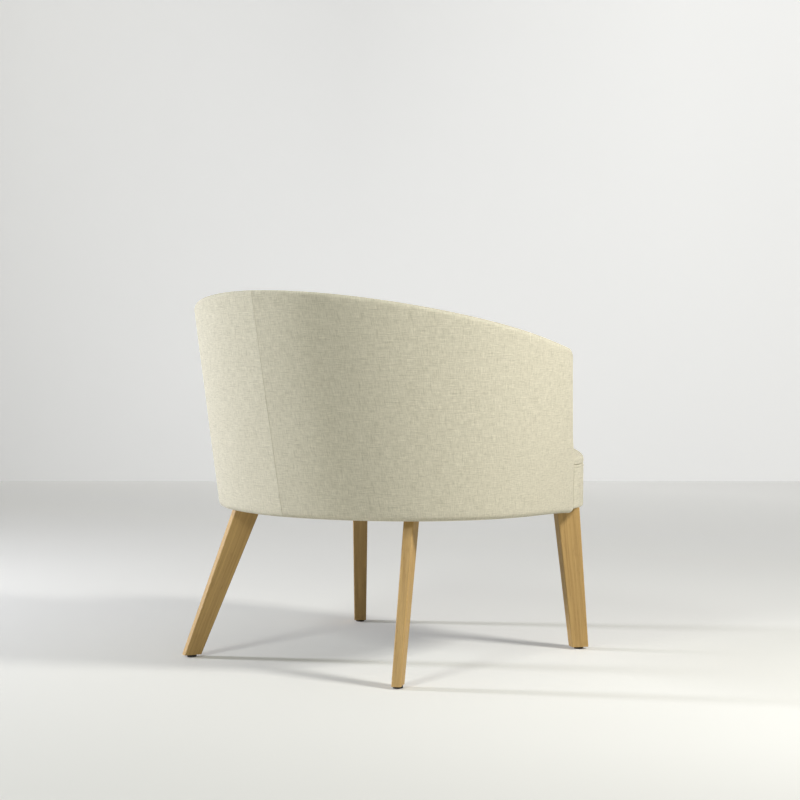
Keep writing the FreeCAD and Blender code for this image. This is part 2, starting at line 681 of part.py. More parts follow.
def make_leg(leg):
    """One leg as a loft from its foot to its raked top."""
    name, end, side = leg
    body = doc.addObject("PartDesign::Body", "leg_" + name)
    foot = body_sketch(body, "foot_" + name, "0", "sizes.glide_height")
    draw_rectangle(foot, end + "_leg_foot_width", end + "_leg_foot_depth", "leg_edge_radius")
    top = body_sketch(body, "top_" + name, "sizes.%s_leg_rake" % end, LEG_TOP_RULE)
    draw_rectangle(top, end + "_leg_top_width", end + "_leg_top_depth", "leg_edge_radius")
    doc.recompute()
    board = body.newObject("PartDesign::AdditiveLoft", "board_" + name)
    board.Profile = foot
    board.Sections = [top]
    board.Ruled = True
    doc.recompute()
    bore = body_sketch(body, "bolt_bore_" + name, plate_rule(end, "sizes.bolt_along"), LEG_TOP_RULE)
    draw_circle(bore, "sizes.bolt_radius + sizes.bolt_clearance", size("bolt_radius"))
    bolt_hole = body.newObject("PartDesign::Pocket", "bolt_hole_" + name)
    bolt_hole.Profile = bore
    bind(bolt_hole, Length="sizes.%s_bolt_in_leg + sizes.bolt_clearance" % end)
    doc.recompute()
    bore = body_sketch(body, "pin_bore_" + name, "0", "sizes.glide_height")
    draw_circle(bore, "sizes.pin_radius + sizes.bolt_clearance", size("pin_radius"))
    pin_hole = body.newObject("PartDesign::Pocket", "pin_hole_" + name)
    pin_hole.Profile = bore
    pin_hole.Reversed = True
    bind(pin_hole, Length="sizes.pin_in_leg + sizes.bolt_clearance")
    stand_on_leg_line(body, leg)
    return keep(body, "leg_" + name)


def make_plate(leg):
    """Steel plate between leg and frame, with its three holes on the leg's line."""
    name, end, side = leg
    body = doc.addObject("PartDesign::Body", "leg_plate_" + name)
    middle_rule = plate_rule(end, "sizes.plate_length / 2")
    outline = body_sketch(body, "plate_outline_" + name, middle_rule, LEG_TOP_RULE)
    draw_rectangle(outline, "plate_length", "plate_width", "plate_corner_radius")
    half = size("plate_length") / 2
    for place, radius in (("bolt_along", "bolt_radius"), ("screw_first", "screw_head_radius"),
                          ("screw_second", "screw_head_radius")):
        rule = "sizes.plate_length / 2 - sizes." + place
        draw_circle(outline, "sizes.%s + sizes.bolt_clearance" % radius, size(radius), rule,
                    half - size(place))
    doc.recompute()
    pad = body.newObject("PartDesign::Pad", "plate_pad_" + name)
    pad.Profile = outline
    bind(pad, Length="sizes.plate_thickness")
    stand_on_leg_line(body, leg)
    return keep(body, "leg_plate_" + name)


def upright(kind, name, leg, inwards, height, **rules):
    """Cylinder or cone that stands on the leg's line, its sizes bound by rules."""
    thing = doc.addObject(kind, name)
    across, along = leg_spot(leg, inwards)
    bind(thing, Placement__Base__x=across, Placement__Base__y=along, Placement__Base__z=height, **rules)
    return thing


def combine(kind, name, first, second):
    """Fuse or cut of two objects."""
    thing = doc.addObject(kind, name)
    thing.Base = first
    thing.Tool = second
    return thing


def group(label, things):
    """Several like fasteners as one sub-part of separate solids."""
    thing = doc.addObject("Part::Compound", label)
    thing.Links = things
    return keep(thing, label)


bolts = []
nuts = []
screws = []
pins = []
for leg in LEGS:
    name, end, side = leg
    make_leg(leg)
    make_plate(leg)

    # Hanger bolt from the leg through the plate into its threaded insert.
    place = plate_rule(end, "sizes.bolt_along")
    depth = "sizes.%s_bolt_in_leg" % end
    bolts.append(upright("Part::Cylinder", "bolt_" + name, leg, place, LEG_TOP_RULE + " - " + depth,
                         Radius="sizes.bolt_radius",
                         Height=depth + " + sizes.plate_thickness + sizes.bolt_in_rail"))
    sleeve = upright("Part::Cylinder", "sleeve_" + name, leg, place, "sizes.seat_underside",
                     Radius="sizes.nut_radius", Height="sizes.nut_height")
    thread = upright("Part::Cylinder", "thread_" + name, leg, place, "sizes.seat_underside",
                     Radius="sizes.bolt_radius + sizes.bolt_clearance", Height="sizes.nut_height")
    nuts.append(combine("Part::Cut", "nut_" + name, sleeve, thread))

    # Countersunk screws up through the plate into the corner block.
    for spot in ("first", "second"):
        place = plate_rule(end, "sizes.screw_" + spot)
        shank = upright("Part::Cylinder", "shank_%s_%s" % (spot, name), leg, place, LEG_TOP_RULE,
                        Radius="sizes.screw_radius", Height="sizes.screw_length")
        head = upright("Part::Cone", "head_%s_%s" % (spot, name), leg, place, LEG_TOP_RULE,
                       Radius1="sizes.screw_head_radius", Radius2="sizes.screw_radius",
                       Height="sizes.screw_head_height")
        screws.append(combine("Part::Fuse", "screw_%s_%s" % (spot, name), shank, head))

    # Black glide with a chamfered foot, and the pin that holds it.
    rim = upright("Part::Cylinder", "glide_rim_" + name, leg, "0", "sizes.glide_edge",
                  Radius="sizes.glide_radius", Height="sizes.glide_height - sizes.glide_edge")
    edge = upright("Part::Cone", "glide_edge_" + name, leg, "0", "0",
                   Radius1="sizes.glide_radius - sizes.glide_edge", Radius2="sizes.glide_radius",
                   Height="sizes.glide_edge")
    foot = combine("Part::Fuse", "glide_foot_" + name, rim, edge)
    pin_foot = "sizes.glide_height - sizes.pin_in_glide"
    hole = upright("Part::Cylinder", "glide_hole_" + name, leg, "0", pin_foot,
                   Radius="sizes.pin_radius + sizes.bolt_clearance", Height="sizes.pin_in_glide")
    keep(combine("Part::Cut", "glide_" + name, foot, hole), "glide_" + name)
    pins.append(upright("Part::Cylinder", "pin_" + name, leg, "0", pin_foot,
                        Radius="sizes.pin_radius", Height="sizes.pin_in_glide + sizes.pin_in_leg"))

group("leg_bolts", bolts)
group("leg_inserts", nuts)
group("plate_screws", screws)
group("glide_pins", pins)
doc.recompute()

# Every object has to be sound before anything is written

for thing in doc.Objects:
    if "Invalid" in thing.State or "Error" in thing.State:
        raise RuntimeError("%s did not recompute: %s" % (thing.Name, thing.State))
for thing in subparts:
    if thing.Shape.isNull() or not thing.Shape.isValid() or not thing.Shape.Solids:
        raise RuntimeError("%s has no sound shape" % thing.Label)

os.makedirs("parts", exist_ok=True)
for thing in subparts:
    thing.Shape.exportStep(os.path.join("parts", thing.Label + ".step"))
    print("%-26s %2d solids %12.1f mm3" % (thing.Label, len(thing.Shape.Solids), thing.Shape.Volume))
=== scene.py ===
import math

import bmesh
import bpy
import numpy as np
from mathutils import Matrix, Vector


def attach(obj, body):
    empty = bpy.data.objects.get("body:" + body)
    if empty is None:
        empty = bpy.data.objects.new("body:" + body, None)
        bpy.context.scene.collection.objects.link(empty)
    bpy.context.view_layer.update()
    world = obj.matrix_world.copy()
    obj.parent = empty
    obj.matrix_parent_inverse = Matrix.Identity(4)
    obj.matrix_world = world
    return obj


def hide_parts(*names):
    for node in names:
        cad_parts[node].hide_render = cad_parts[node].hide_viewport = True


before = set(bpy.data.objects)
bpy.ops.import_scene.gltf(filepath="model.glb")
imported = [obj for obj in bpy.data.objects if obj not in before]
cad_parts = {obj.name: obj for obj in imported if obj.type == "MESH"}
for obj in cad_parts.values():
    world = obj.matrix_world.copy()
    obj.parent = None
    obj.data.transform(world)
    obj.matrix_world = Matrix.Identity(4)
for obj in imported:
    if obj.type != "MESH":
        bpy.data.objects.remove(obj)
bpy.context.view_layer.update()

# View: the camera stands behind the sitter's right arm, a little above the seat, and looks down by less
# than two degrees through a long lens. The lens, and how far the horizon lies above the picture's middle,
# are given in pixels of the picture.
VIEW_TURN = math.radians(38.347)
VIEW_DISTANCE = 3.6537
VIEW_ASIDE = 0.0357
VIEW_HEIGHT = 0.633
VIEW_FORWARD = 0.0240
PICTURE_PIXELS, LENS_PIXELS, HORIZON_PIXELS = 800, 1807, 60
VIEW_DROP = math.atan(HORIZON_PIXELS / LENS_PIXELS)
SENSOR_WIDTH = 36
toward = np.array([-math.sin(VIEW_TURN), math.cos(VIEW_TURN)])
rightward = np.array([-math.cos(VIEW_TURN), -math.sin(VIEW_TURN)])
camera = bpy.data.objects.new("camera", bpy.data.cameras.new("camera"))
camera.data.sensor_width = SENSOR_WIDTH
camera.data.lens = SENSOR_WIDTH * LENS_PIXELS / PICTURE_PIXELS
stand = VIEW_DISTANCE * toward + VIEW_ASIDE * rightward
camera.location = (stand[0], stand[1] - VIEW_FORWARD, VIEW_HEIGHT)
sight = Vector((-toward[0] * math.cos(VIEW_DROP), -toward[1] * math.cos(VIEW_DROP), -math.sin(VIEW_DROP)))
camera.rotation_euler = sight.to_track_quat("-Z", "Y").to_euler()
bpy.context.collection.objects.link(camera)
bpy.context.scene.camera = camera
bpy.context.scene.view_settings.view_transform = "Standard"


# Tub covers: a left and a right half of heavy linen-like cloth, sewn together up the middle of the back
# and pulled over the rim and the arm fronts, and a padded lining on the inside that meets them in a
# seam on top of the rim.
TUB_FOOT = 0.2965
TUB_TOP = 0.7275
FOOT_BACK, TOP_BACK = 0.2754, 0.3619
FOOT_RADII = (0.4005, 0.3183, 0.7150)
TOP_RADII = (0.3680, 0.4185, 1.4100)
BACK_ANGLE, SIDE_ANGLE = math.radians(33.3), math.radians(90)
WALL = 0.0529
ARM_FOOT, ARM_TOP, ARM_HEIGHT = 0.1905, 0.1499, 0.6155
CORNER_ROUND, EDGE_ROUND, HEM_ROUND = 0.022, 0.0105, 0.010
ARM_EDGE_ROUND, ARM_EDGE_RANGE = 0.0008, (0.39, 0.46)
HEM_SAG, HEM_SAG_REACH, HEM_SAG_RISE = 0.0065, 0.055, 0.050
HEM_TUCKS, FRONT_HEM_SHARE = (0.0020, 0.0045), 0.7
KEEL_RISE, KEEL_REACH = 0.0020, 0.022
WAVE_HEIGHT, WAVE_SHIFTS = 0.00022, (1.3, 0.4)
LEVEL_WAVES, SLANTED_WAVES = (7, 21), (13, 31)
SEAM_DEPTH, SEAM_GAP, SEAM_ROLL = 0.0379, 0.0004, 0.0016
ROLL_STEPS, SEAM_CLEARANCES = (0.0, 0.12, 0.4, 1.0, 2.2), (0.0050, 0.0045)
EDGE_SWELL, CENTRE_SEAM_ROLL = 0.0005, 0.0010
COVER = 0.0026
BORDER_BAND, FACE_STEPS = 0.045, (0.036, 0.028, 0.021, 0.016)
CLOTH_RADII = 0.376, 0.374, 1.05
FLAT_ROWS, CORNER_COLUMNS, FRONT_COLUMNS = 7, 7, 38
SEAM_COLUMNS = (0.0, 0.0004, 0.0009, 0.0015, 0.0022, 0.0034, 0.0055, 0.009, 0.015, 0.023)
RIM_START, RIM_STEP = 0.032, 0.0085
ROUNDING_SLACK = 1e-9


def tub_arcs(z):
    """Centres and radii of the three tangent arcs of the outline at height z: each value is linear in z."""
    rise = (z - TUB_FOOT) / (TUB_TOP - TUB_FOOT)
    r1, r2, r3 = [low + (high - low) * rise for low, high in zip(FOOT_RADII, TOP_RADII)]
    y1 = FOOT_BACK + (TOP_BACK - FOOT_BACK) * rise - r1
    x2, y2 = math.sin(BACK_ANGLE) * (r1 - r2), y1 + math.cos(BACK_ANGLE) * (r1 - r2)
    return (0 * x2, y1, r1), (x2, y2, r2), (x2 + r2 - r3, y2, r3)


def tub_angle(y, z, inset):
    """Angle from straight back at which the outline reaches y: the arc cosine of (y - centre) / radius."""
    first, second, third = tub_arcs(z)
    join = first[1] + (first[2] - inset) * math.cos(BACK_ANGLE)
    cosine = np.where(y < third[1], (y - third[1]) / (third[2] - inset),
                      np.where(y < join, (y - second[1]) / (second[2] - inset),
                               (y - first[1]) / (first[2] - inset)))
    return np.arccos(np.clip(cosine, -1, 1))


def by_arc(angle, values):
    """For each angle the value of the arc that it lies on: back, side or arm."""
    return np.where(angle < BACK_ANGLE, values[0], np.where(angle < SIDE_ANGLE, values[1], values[2]))


def tub_wall(angle, z, inset, side):
    """Point on the wall: arc centre plus (radius - inset) times (sin, cos) of the angle, mirrored by side.
    The inset varies by less than half a millimetre in slow waves, as stretched cloth does over foam, and
    the outer face rises to a slight keel at the centre seam, by exp(-distance / reach). The hem hangs lower
    towards the arm's corner, by exp(-distance behind the arm front / reach), fading out upwards."""
    turn = side * angle
    waves = (np.sin(LEVEL_WAVES[0] * turn + WAVE_SHIFTS[0]) * np.sin(LEVEL_WAVES[1] * z + WAVE_SHIFTS[1])
             + np.sin(SLANTED_WAVES[0] * turn + SLANTED_WAVES[1] * z))
    inset = inset + WAVE_HEIGHT * waves
    keel = KEEL_RISE * np.exp(-angle * TOP_RADII[0] / KEEL_REACH)
    inset = inset - keel * np.clip(1 - inset / SEAM_DEPTH, 0, 1)
    centre_x, centre_y, radius = [by_arc(angle, values) for values in zip(*tub_arcs(z))]
    radius = radius - inset
    y = centre_y + radius * np.cos(angle)
    behind = np.maximum(y - front_line(z, 0.0), 0)
    low = np.clip(1 - (z - TUB_FOOT) / HEM_SAG_RISE, 0, 1)
    z = z - HEM_SAG * low ** 2 * np.exp(-behind / HEM_SAG_REACH)
    return np.stack([side * (centre_x + radius * np.sin(angle)), y, z + 0 * angle], axis=-1)


def unrolled(angle, z):
    """Cloth coordinates in metres: arc length round the tub at about mid height, and height."""
    back, side, arm = CLOTH_RADII
    across = (back * np.minimum(angle, BACK_ANGLE)
              + side * np.clip(angle - BACK_ANGLE, 0, SIDE_ANGLE - BACK_ANGLE)
              + arm * np.maximum(angle - SIDE_ANGLE, 0))
    return np.stack([across, z + 0 * angle], axis=-1)


rim_run = np.array([TOP_BACK + ARM_TOP, TUB_TOP - ARM_HEIGHT])
rim_run = rim_run / math.hypot(*rim_run)
front_run = np.array([ARM_FOOT - ARM_TOP, ARM_HEIGHT - TUB_FOOT])
front_run = front_run / np.linalg.norm(front_run)
rim_normal, front_normal = np.array([-rim_run[1], rim_run[0]]), np.array([-front_run[1], front_run[0]])
rim_bend = math.acos(rim_normal @ front_normal)


def rim_height(angle, inset, down):
    """Height on the rim's plane, lowered by down, above the outline at an angle: the plane's equation is
    solved for z, because the outline moves in a straight line with z."""
    low, high = [tub_wall_plain(angle, z, inset) for z in (TUB_FOOT, TUB_TOP)]
    climb = rim_normal[1] * (TUB_TOP - TUB_FOOT) + rim_normal[0] * (high - low)
    start = rim_normal[0] * (low - TOP_BACK) + rim_normal[1] * (TUB_FOOT - TUB_TOP)
    return TUB_FOOT + (TUB_TOP - TUB_FOOT) * (-down - start) / climb


def tub_wall_plain(angle, z, inset):
    """Only the front-to-back coordinate of the outline, without waves."""
    centre, radius = [by_arc(angle, values) for values in zip(*[arc[1:] for arc in tub_arcs(z)])]
    return centre + (radius - inset) * np.cos(angle)


def arm_corner(down):
    """Corner of the side view, moved in by down from rim and arm front: start, centre and radius of its
    arc."""
    radius = np.maximum(CORNER_ROUND - down, 0)
    shift = -down / (1 + rim_normal @ front_normal)
    corner = np.array([-ARM_TOP, ARM_HEIGHT]) + shift[..., None] * (rim_normal + front_normal)
    start = corner + rim_run * (radius * math.tan(rim_bend / 2))[..., None]
    return start, start - rim_normal * radius[..., None], radius


def front_line(z, back):
    """Front-to-back coordinate of the arm front at height z, moved in by back."""
    return -ARM_FOOT + (z - TUB_FOOT) * front_run[0] / front_run[1] + back / front_run[1]


def edge_section(radius):
    """Path across the wall's edge, as inset through the wall, inset from the edge, and inward direction:
    face, quarter circle, flat with a slight swell, quarter circle, face."""
    turn = np.radians([0, 15, 30, 45, 60, 75, 90])
    flat = np.linspace(radius, WALL - radius, FLAT_ROWS + 2)[1:-1]
    swell = -EDGE_SWELL * np.sin(math.pi * (flat - radius) / (WALL - 2 * radius))
    face = np.array([BORDER_BAND, *FACE_STEPS])
    through = np.concatenate([0 * face, radius * (1 - np.cos(turn)), flat,
                              WALL - radius * (1 - np.cos(turn[::-1])), WALL + 0 * face])
    inward = np.concatenate([face, radius * (1 - np.sin(turn)), swell,
                             radius * (1 - np.sin(turn[::-1])), face[::-1]])
    along = np.concatenate([1 + 0 * face, np.cos(turn), 0 * flat, -np.cos(turn[::-1]), -1 + 0 * face])
    across = np.concatenate([0 * face, np.sin(turn), 1 + 0 * flat, np.sin(turn[::-1]), 0 * face])
    return np.stack([through, inward, along, across], axis=-1)


def rolled_section(radius, outer):
    """The outer or the inner part of the section, up to the seam on top of the rim, where the cloth turns
    down in a quarter circle: depth is roll minus the root of (roll squared minus (roll - run) squared).
    Which rows stay is asked of the round section, so that every radius keeps the same rows."""
    section = edge_section(radius)
    through = edge_section(EDGE_ROUND)[:, 0]
    run = SEAM_ROLL * np.array(ROLL_STEPS)
    depth = SEAM_ROLL - np.sqrt(SEAM_ROLL ** 2 - np.maximum(SEAM_ROLL - run, 0) ** 2)
    if outer:
        seam = np.stack([SEAM_DEPTH - run, depth, 0 * run, 1 + 0 * run], axis=-1)[::-1]
        return np.concatenate([section[through < SEAM_DEPTH - SEAM_CLEARANCES[0]], seam])
    seam = np.stack([SEAM_DEPTH + SEAM_GAP + run, depth, 0 * run, 1 + 0 * run], axis=-1)
    return np.concatenate([seam, section[through > SEAM_DEPTH + SEAM_CLEARANCES[1]]])


def spread(start, stop, step):
    """Evenly spaced values with both ends, about a step apart."""
    return np.linspace(start, stop, max(2, int(round((stop - start) / step)) + 1))


rim_length = float(unrolled(np.array(tub_angle(-ARM_TOP, ARM_HEIGHT, 0.0)), 0.0)[0])
rim_shares = np.concatenate([SEAM_COLUMNS, spread(RIM_START, rim_length, RIM_STEP)]) / rim_length
corner_shares = np.linspace(0, 1, CORNER_COLUMNS + 2)[1:-1]
front_shares = np.linspace(0, 1, FRONT_COLUMNS)
# The hem turns under in a quarter circle and then runs level, in by the tucks.
hem_turns = np.radians([0, 22, 45, 68, 90, 90, 90])
hem_in = HEM_ROUND * (1 - np.cos(hem_turns))
hem_in[-2:] += HEM_TUCKS
hem_height = TUB_FOOT + HEM_ROUND * (1 - np.sin(hem_turns))


def centre_roll(shares, seam_roll):
    """How far the cloth turns in at the centre seam: a quarter circle of the given radius, ending in it."""
    distance = shares[None, :] * rim_length
    if seam_roll == 0:
        return 0 * distance
    return seam_roll - np.sqrt(seam_roll ** 2 - np.clip(seam_roll - distance, 0, seam_roll) ** 2)


def tub_edge(section, tight, side, seam_roll):
    """Grid over the edge band: rows follow the section, columns run along the rim, round the corner, down
    the arm front and under the hem. Beside the seat the tight section takes over, in a smooth step. Under
    the hem the arm front turns in by FRONT_HEM_SHARE of what the faces do. Returns points, cloth coordinates
    and the direction in which the cloth is pulled over the edge."""
    through, inward = section[:, :1], section[:, 1:2]
    along, across = section[:, 2:3], section[:, 3:4]
    start, centre, radius = arm_corner(inward[:, 0])
    end_angle = tub_angle(start[:, 0], start[:, 1], through[:, 0])[:, None]
    angle = rim_shares[None, :] * end_angle
    roll = centre_roll(rim_shares, seam_roll)
    z = rim_height(angle, through, inward)
    points = [tub_wall(angle, z - roll * across, through + roll * along, side)]
    cloth = [unrolled(angle, z)]
    pull = [np.broadcast_to([0.0, 1.0], angle.shape + (2,))]
    turn = corner_shares * rim_bend
    direction = (np.sin(rim_bend - turn)[:, None] * rim_normal + np.sin(turn)[:, None] * front_normal)
    direction = direction / math.sin(rim_bend)
    place = centre[:, None, :] + radius[:, None, None] * direction[None]
    angle = tub_angle(place[..., 0], place[..., 1], through)
    points.append(tub_wall(angle, place[..., 1], through, side))
    cloth.append(unrolled(angle, place[..., 1]))
    pull.append(np.broadcast_to(direction * [-1, 1], angle.shape + (2,)))
    end = centre + radius[:, None] * front_normal
    z = end[:, 1:2] + (TUB_FOOT + HEM_ROUND - end[:, 1:2]) * front_shares[None, :]
    share = np.clip((ARM_EDGE_RANGE[1] - z) / (ARM_EDGE_RANGE[1] - ARM_EDGE_RANGE[0]), 0, 1)
    share = share * share * (3 - 2 * share)
    depth = through + (tight[:, :1] - through) * share
    angle = tub_angle(front_line(z, inward + (tight[:, 1:2] - inward) * share), z, depth)
    points.append(tub_wall(angle, z, depth, side))
    cloth.append(unrolled(angle, z))
    pull.append(np.broadcast_to([1.0, 0.0], angle.shape + (2,)))
    through, inward = tight[:, :1], tight[:, 1:2]
    z = hem_height[None, 1:] + 0 * through
    inset = np.clip(through, hem_in[None, 1:], WALL - hem_in[None, 1:])
    angle = tub_angle(front_line(z, np.maximum(inward, FRONT_HEM_SHARE * hem_in[None, 1:])), z, inset)
    points.append(tub_wall(angle, z, inset, side))
    cloth.append(unrolled(angle, z - hem_in[None, 1:]))
    pull.append(np.broadcast_to([1.0, 0.0], angle.shape + (2,)))
    return [np.concatenate(part, axis=1) for part in (points, cloth, pull)]


def cloth_over_edge(points, cloth, pull):
    """Cloth coordinates past the face: those of the first row plus the path length over the edge."""
    step = np.linalg.norm(np.diff(points, axis=0), axis=-1)
    length = np.concatenate([np.zeros((1, step.shape[1])), np.cumsum(step, axis=0)])
    return cloth[0][None] + pull * length[..., None]


def tub_face(inset, rim_row, side, seam_roll, hem_sign):
    """Grid over one face of the wall, between the edge band and the hem: columns at shares of the angle to
    the arm front, rows at shares of the height."""
    top = rim_row[:rim_shares.size, 2]
    corner = arm_corner(np.array(BORDER_BAND))[0]
    front_z = TUB_FOOT + HEM_ROUND + front_shares * (corner[1] - TUB_FOOT - HEM_ROUND)
    limit = tub_angle(front_line(front_z, BORDER_BAND), front_z, inset)[:, None]
    z = TUB_FOOT + HEM_ROUND + front_shares[:, None] * (top[None, :] - TUB_FOOT - HEM_ROUND)
    depth = inset + 0 * z
    hem_z, hem_depth = hem_height[:0:-1], inset + hem_sign * hem_in[:0:-1]
    hem_limit = tub_angle(front_line(hem_z, BORDER_BAND), hem_z, hem_depth)[:, None]
    limit = np.concatenate([hem_limit, limit])
    z = np.concatenate([hem_z[:, None] + 0 * top[None, :], z])
    depth = np.concatenate([hem_depth[:, None] + 0 * top[None, :], depth])
    roll = centre_roll(rim_shares, seam_roll)
    angle = limit * rim_shares[None, :]
    low = np.concatenate([hem_in[:0:-1], 0 * front_shares])[:, None]
    return tub_wall(angle, z, depth + hem_sign * roll, side), unrolled(angle, z - low)


WELD_DISTANCE, SLIVER_EDGE = 0.00002, 0.00001


def cloth_mesh(name, grids):
    """One mesh from grids of points and cloth coordinates, each with a turn of 1 or -1 that says which way
    its faces look. Points that meet where grids join are merged, and faces without area go."""
    quads, start = [], 0
    for points, cloth, turn in grids:
        index = start + np.arange(points[..., 0].size).reshape(points.shape[:2])
        corners = (index[:-1, :-1], index[1:, :-1], index[1:, 1:], index[:-1, 1:])[::turn]
        quads.append(np.stack(corners, axis=-1).reshape(-1, 4))
        start += index.size
    quads = np.concatenate(quads)
    cloth = np.concatenate([grid[1].reshape(-1, 2) for grid in grids])
    piece = faces_object(name, np.concatenate([grid[0].reshape(-1, 3) for grid in grids]), quads)
    piece.data.uv_layers.new(name="cloth").data.foreach_set("uv", cloth[quads].ravel())
    sewn = bmesh.new()
    sewn.from_mesh(piece.data)
    bmesh.ops.remove_doubles(sewn, verts=sewn.verts, dist=WELD_DISTANCE)
    bmesh.ops.dissolve_degenerate(sewn, edges=sewn.edges, dist=SLIVER_EDGE)
    sewn.to_mesh(piece.data)
    sewn.free()
    return piece


def faces_object(name, points, quads):
    """An object with smooth faces between the points."""
    mesh = bpy.data.meshes.new(name)
    mesh.from_pydata(points.tolist(), [], quads.tolist())
    mesh.polygons.foreach_set("use_smooth", np.ones(len(quads), dtype=bool))
    made = bpy.data.objects.new(name, mesh)
    bpy.context.collection.objects.link(made)
    return made


def thicken(piece, thickness):
    """Gives a cover its own thickness, inwards from the face that shows."""
    wall = piece.modifiers.new("thickness", "SOLIDIFY")
    wall.thickness = thickness
    wall.offset = -1


def new_material(name):
    """A new material and its Principled shader."""
    made = bpy.data.materials.new(name)
    made.use_nodes = True
    return made, made.node_tree.nodes["Principled BSDF"]


class Wiring:
    """Short ways to add nodes to a tree and join them."""

    def __init__(self, tree):
        self.tree = tree

    def add(self, kind, **settings):
        node = self.tree.nodes.new(kind)
        for key, value in settings.items():
            setattr(node, key, value)
        return node

    def join(self, source, target):
        if hasattr(source, "is_output"):
            self.tree.links.new(source, target)
        else:
            target.default_value = source

    def calc(self, operation, *values):
        node = self.add("ShaderNodeMath", operation=operation)
        for value, socket in zip(values, node.inputs):
            self.join(value, socket)
        return node.outputs[0]

    def weighted(self, *terms):
        """Sum of values, each times its weight."""
        total = 0.0
        for value, weight in terms:
            total = self.calc("ADD", total, self.calc("MULTIPLY", value, weight))
        return total

    def along(self, vector, direction):
        node = self.add("ShaderNodeVectorMath", operation="DOT_PRODUCT")
        self.join(vector, node.inputs[0])
        node.inputs[1].default_value = tuple(direction)
        return node.outputs["Value"]

    def noise(self, place, stretch=(1, 1, 1), shift=(0, 0, 0), detail=2.0, roughness=0.5):
        """Noise whose turns per metre along each axis are given by stretch."""
        mapped = self.add("ShaderNodeMapping")
        self.join(place, mapped.inputs["Vector"])
        mapped.inputs["Scale"].default_value = stretch
        mapped.inputs["Location"].default_value = shift
        node = self.add("ShaderNodeTexNoise")
        self.join(mapped.outputs[0], node.inputs["Vector"])
        node.inputs["Scale"].default_value = 1.0
        node.inputs["Detail"].default_value = detail
        node.inputs["Roughness"].default_value = roughness
        return node.outputs[0]

    def ranged(self, value, low, high, to_low=0.0, to_high=1.0):
        node = self.add("ShaderNodeMapRange")
        for given, socket in zip((value, low, high, to_low, to_high), node.inputs):
            self.join(given, socket)
        return node.outputs[0]

    def blend(self, share, first, second):
        node = self.add("ShaderNodeMix", data_type="RGBA")
        self.join(share, node.inputs["Factor"])
        self.join(first, node.inputs["A"])
        self.join(second, node.inputs["B"])
        return node.outputs["Result"]

    def surface(self, shader, group, dark, pale, relief, rough):
        """Joins a group to a shader: its Tone picks colour and roughness, its Height is relief in metres."""
        self.join(self.blend(group.outputs["Tone"], (*dark, 1), (*pale, 1)), shader.inputs["Base Color"])
        bump = self.add("ShaderNodeBump")
        bump.inputs["Distance"].default_value = relief
        self.join(group.outputs["Height"], bump.inputs["Height"])
        self.join(bump.outputs[0], shader.inputs["Normal"])
        self.join(self.ranged(group.outputs["Tone"], 0, 1, *rough), shader.inputs["Roughness"])


def surface_group(name, place, size):
    """A node group with a place and a size as inputs, and Tone and Height as outputs. Returns the group, its
    wiring, both inputs and the node that takes the outputs."""
    group = bpy.data.node_groups.new(name, "ShaderNodeTree")
    group.interface.new_socket(place, in_out="INPUT", socket_type="NodeSocketVector")
    group.interface.new_socket(size, in_out="INPUT", socket_type="NodeSocketFloat")
    for label in ("Tone", "Height"):
        group.interface.new_socket(label, in_out="OUTPUT", socket_type="NodeSocketFloat")
    net = Wiring(group)
    given = net.add("NodeGroupInput")
    return group, net, given.outputs[place], given.outputs[size], net.add("NodeGroupOutput")


NOISE_RANGE = 0.3, 0.7
YARN_RANGE, DARK_SLUB_RANGE = (0.34, 0.66), (0.30, 0.40)
LEVEL_SLUB_RANGE, UPRIGHT_SLUB_RANGE = (0.60, 0.72), (0.62, 0.74)


def woven_group():
    """Plain weave with slubs. Tone is 0 in dark yarn and 1 in pale yarn, Height is the yarns' relief. Tone
    also rises a little with the relief, which is painted shade: darker in the dips between the yarns. The
    noises are drawn out along the yarns of one direction, the long ones as slubs."""
    group, net, cloth, pitch, result = surface_group("woven_cloth", "Cloth", "Yarn Pitch")
    parts = net.add("ShaderNodeSeparateXYZ")
    net.join(cloth, parts.inputs[0])
    turns = net.calc("DIVIDE", math.pi, pitch)
    warp = net.calc("SINE", net.calc("MULTIPLY", parts.outputs[0], turns))
    weft = net.calc("SINE", net.calc("MULTIPLY", parts.outputs[1], turns))
    over = net.calc("GREATER_THAN", net.calc("MULTIPLY", warp, weft), 0.0)
    under = net.calc("SUBTRACT", 1.0, over)
    relief = net.weighted((net.calc("ABSOLUTE", warp), over), (net.calc("ABSOLUTE", weft), under))
    level = net.noise(cloth, stretch=(64, 600, 1), detail=3.0, roughness=0.65)
    upright = net.noise(cloth, stretch=(560, 70, 1), shift=(3, 7, 5), detail=3.0, roughness=0.65)
    patch = net.noise(cloth, stretch=(90, 90, 1), shift=(2, 6, 23), detail=3.0, roughness=0.6)
    long_level = net.noise(cloth, stretch=(26, 460, 1), shift=(9, 2, 11))
    long_upright = net.noise(cloth, stretch=(430, 32, 1), shift=(4, 8, 17))
    level, upright = [net.ranged(yarn, *YARN_RANGE) for yarn in (level, upright)]
    patch = net.ranged(patch, *NOISE_RANGE)
    pale = net.calc("MAXIMUM", net.ranged(long_level, *LEVEL_SLUB_RANGE),
                    net.ranged(long_upright, *UPRIGHT_SLUB_RANGE))
    dark = net.ranged(net.calc("MINIMUM", long_level, long_upright), *DARK_SLUB_RANGE, 1, 0)
    # The relief term in the tone is painted shade: darker in the dips between the yarns.
    tone = net.weighted((level, 0.42), (upright, 0.42), (patch, 0.04), (pale, 0.22), (dark, -0.30),
                        (relief, 0.10))
    net.join(net.ranged(tone, 0, 1), result.inputs["Tone"])
    height = net.weighted((relief, 0.45), (level, 0.25), (upright, 0.25), (pale, 0.5))
    net.join(height, result.inputs["Height"])
    return group


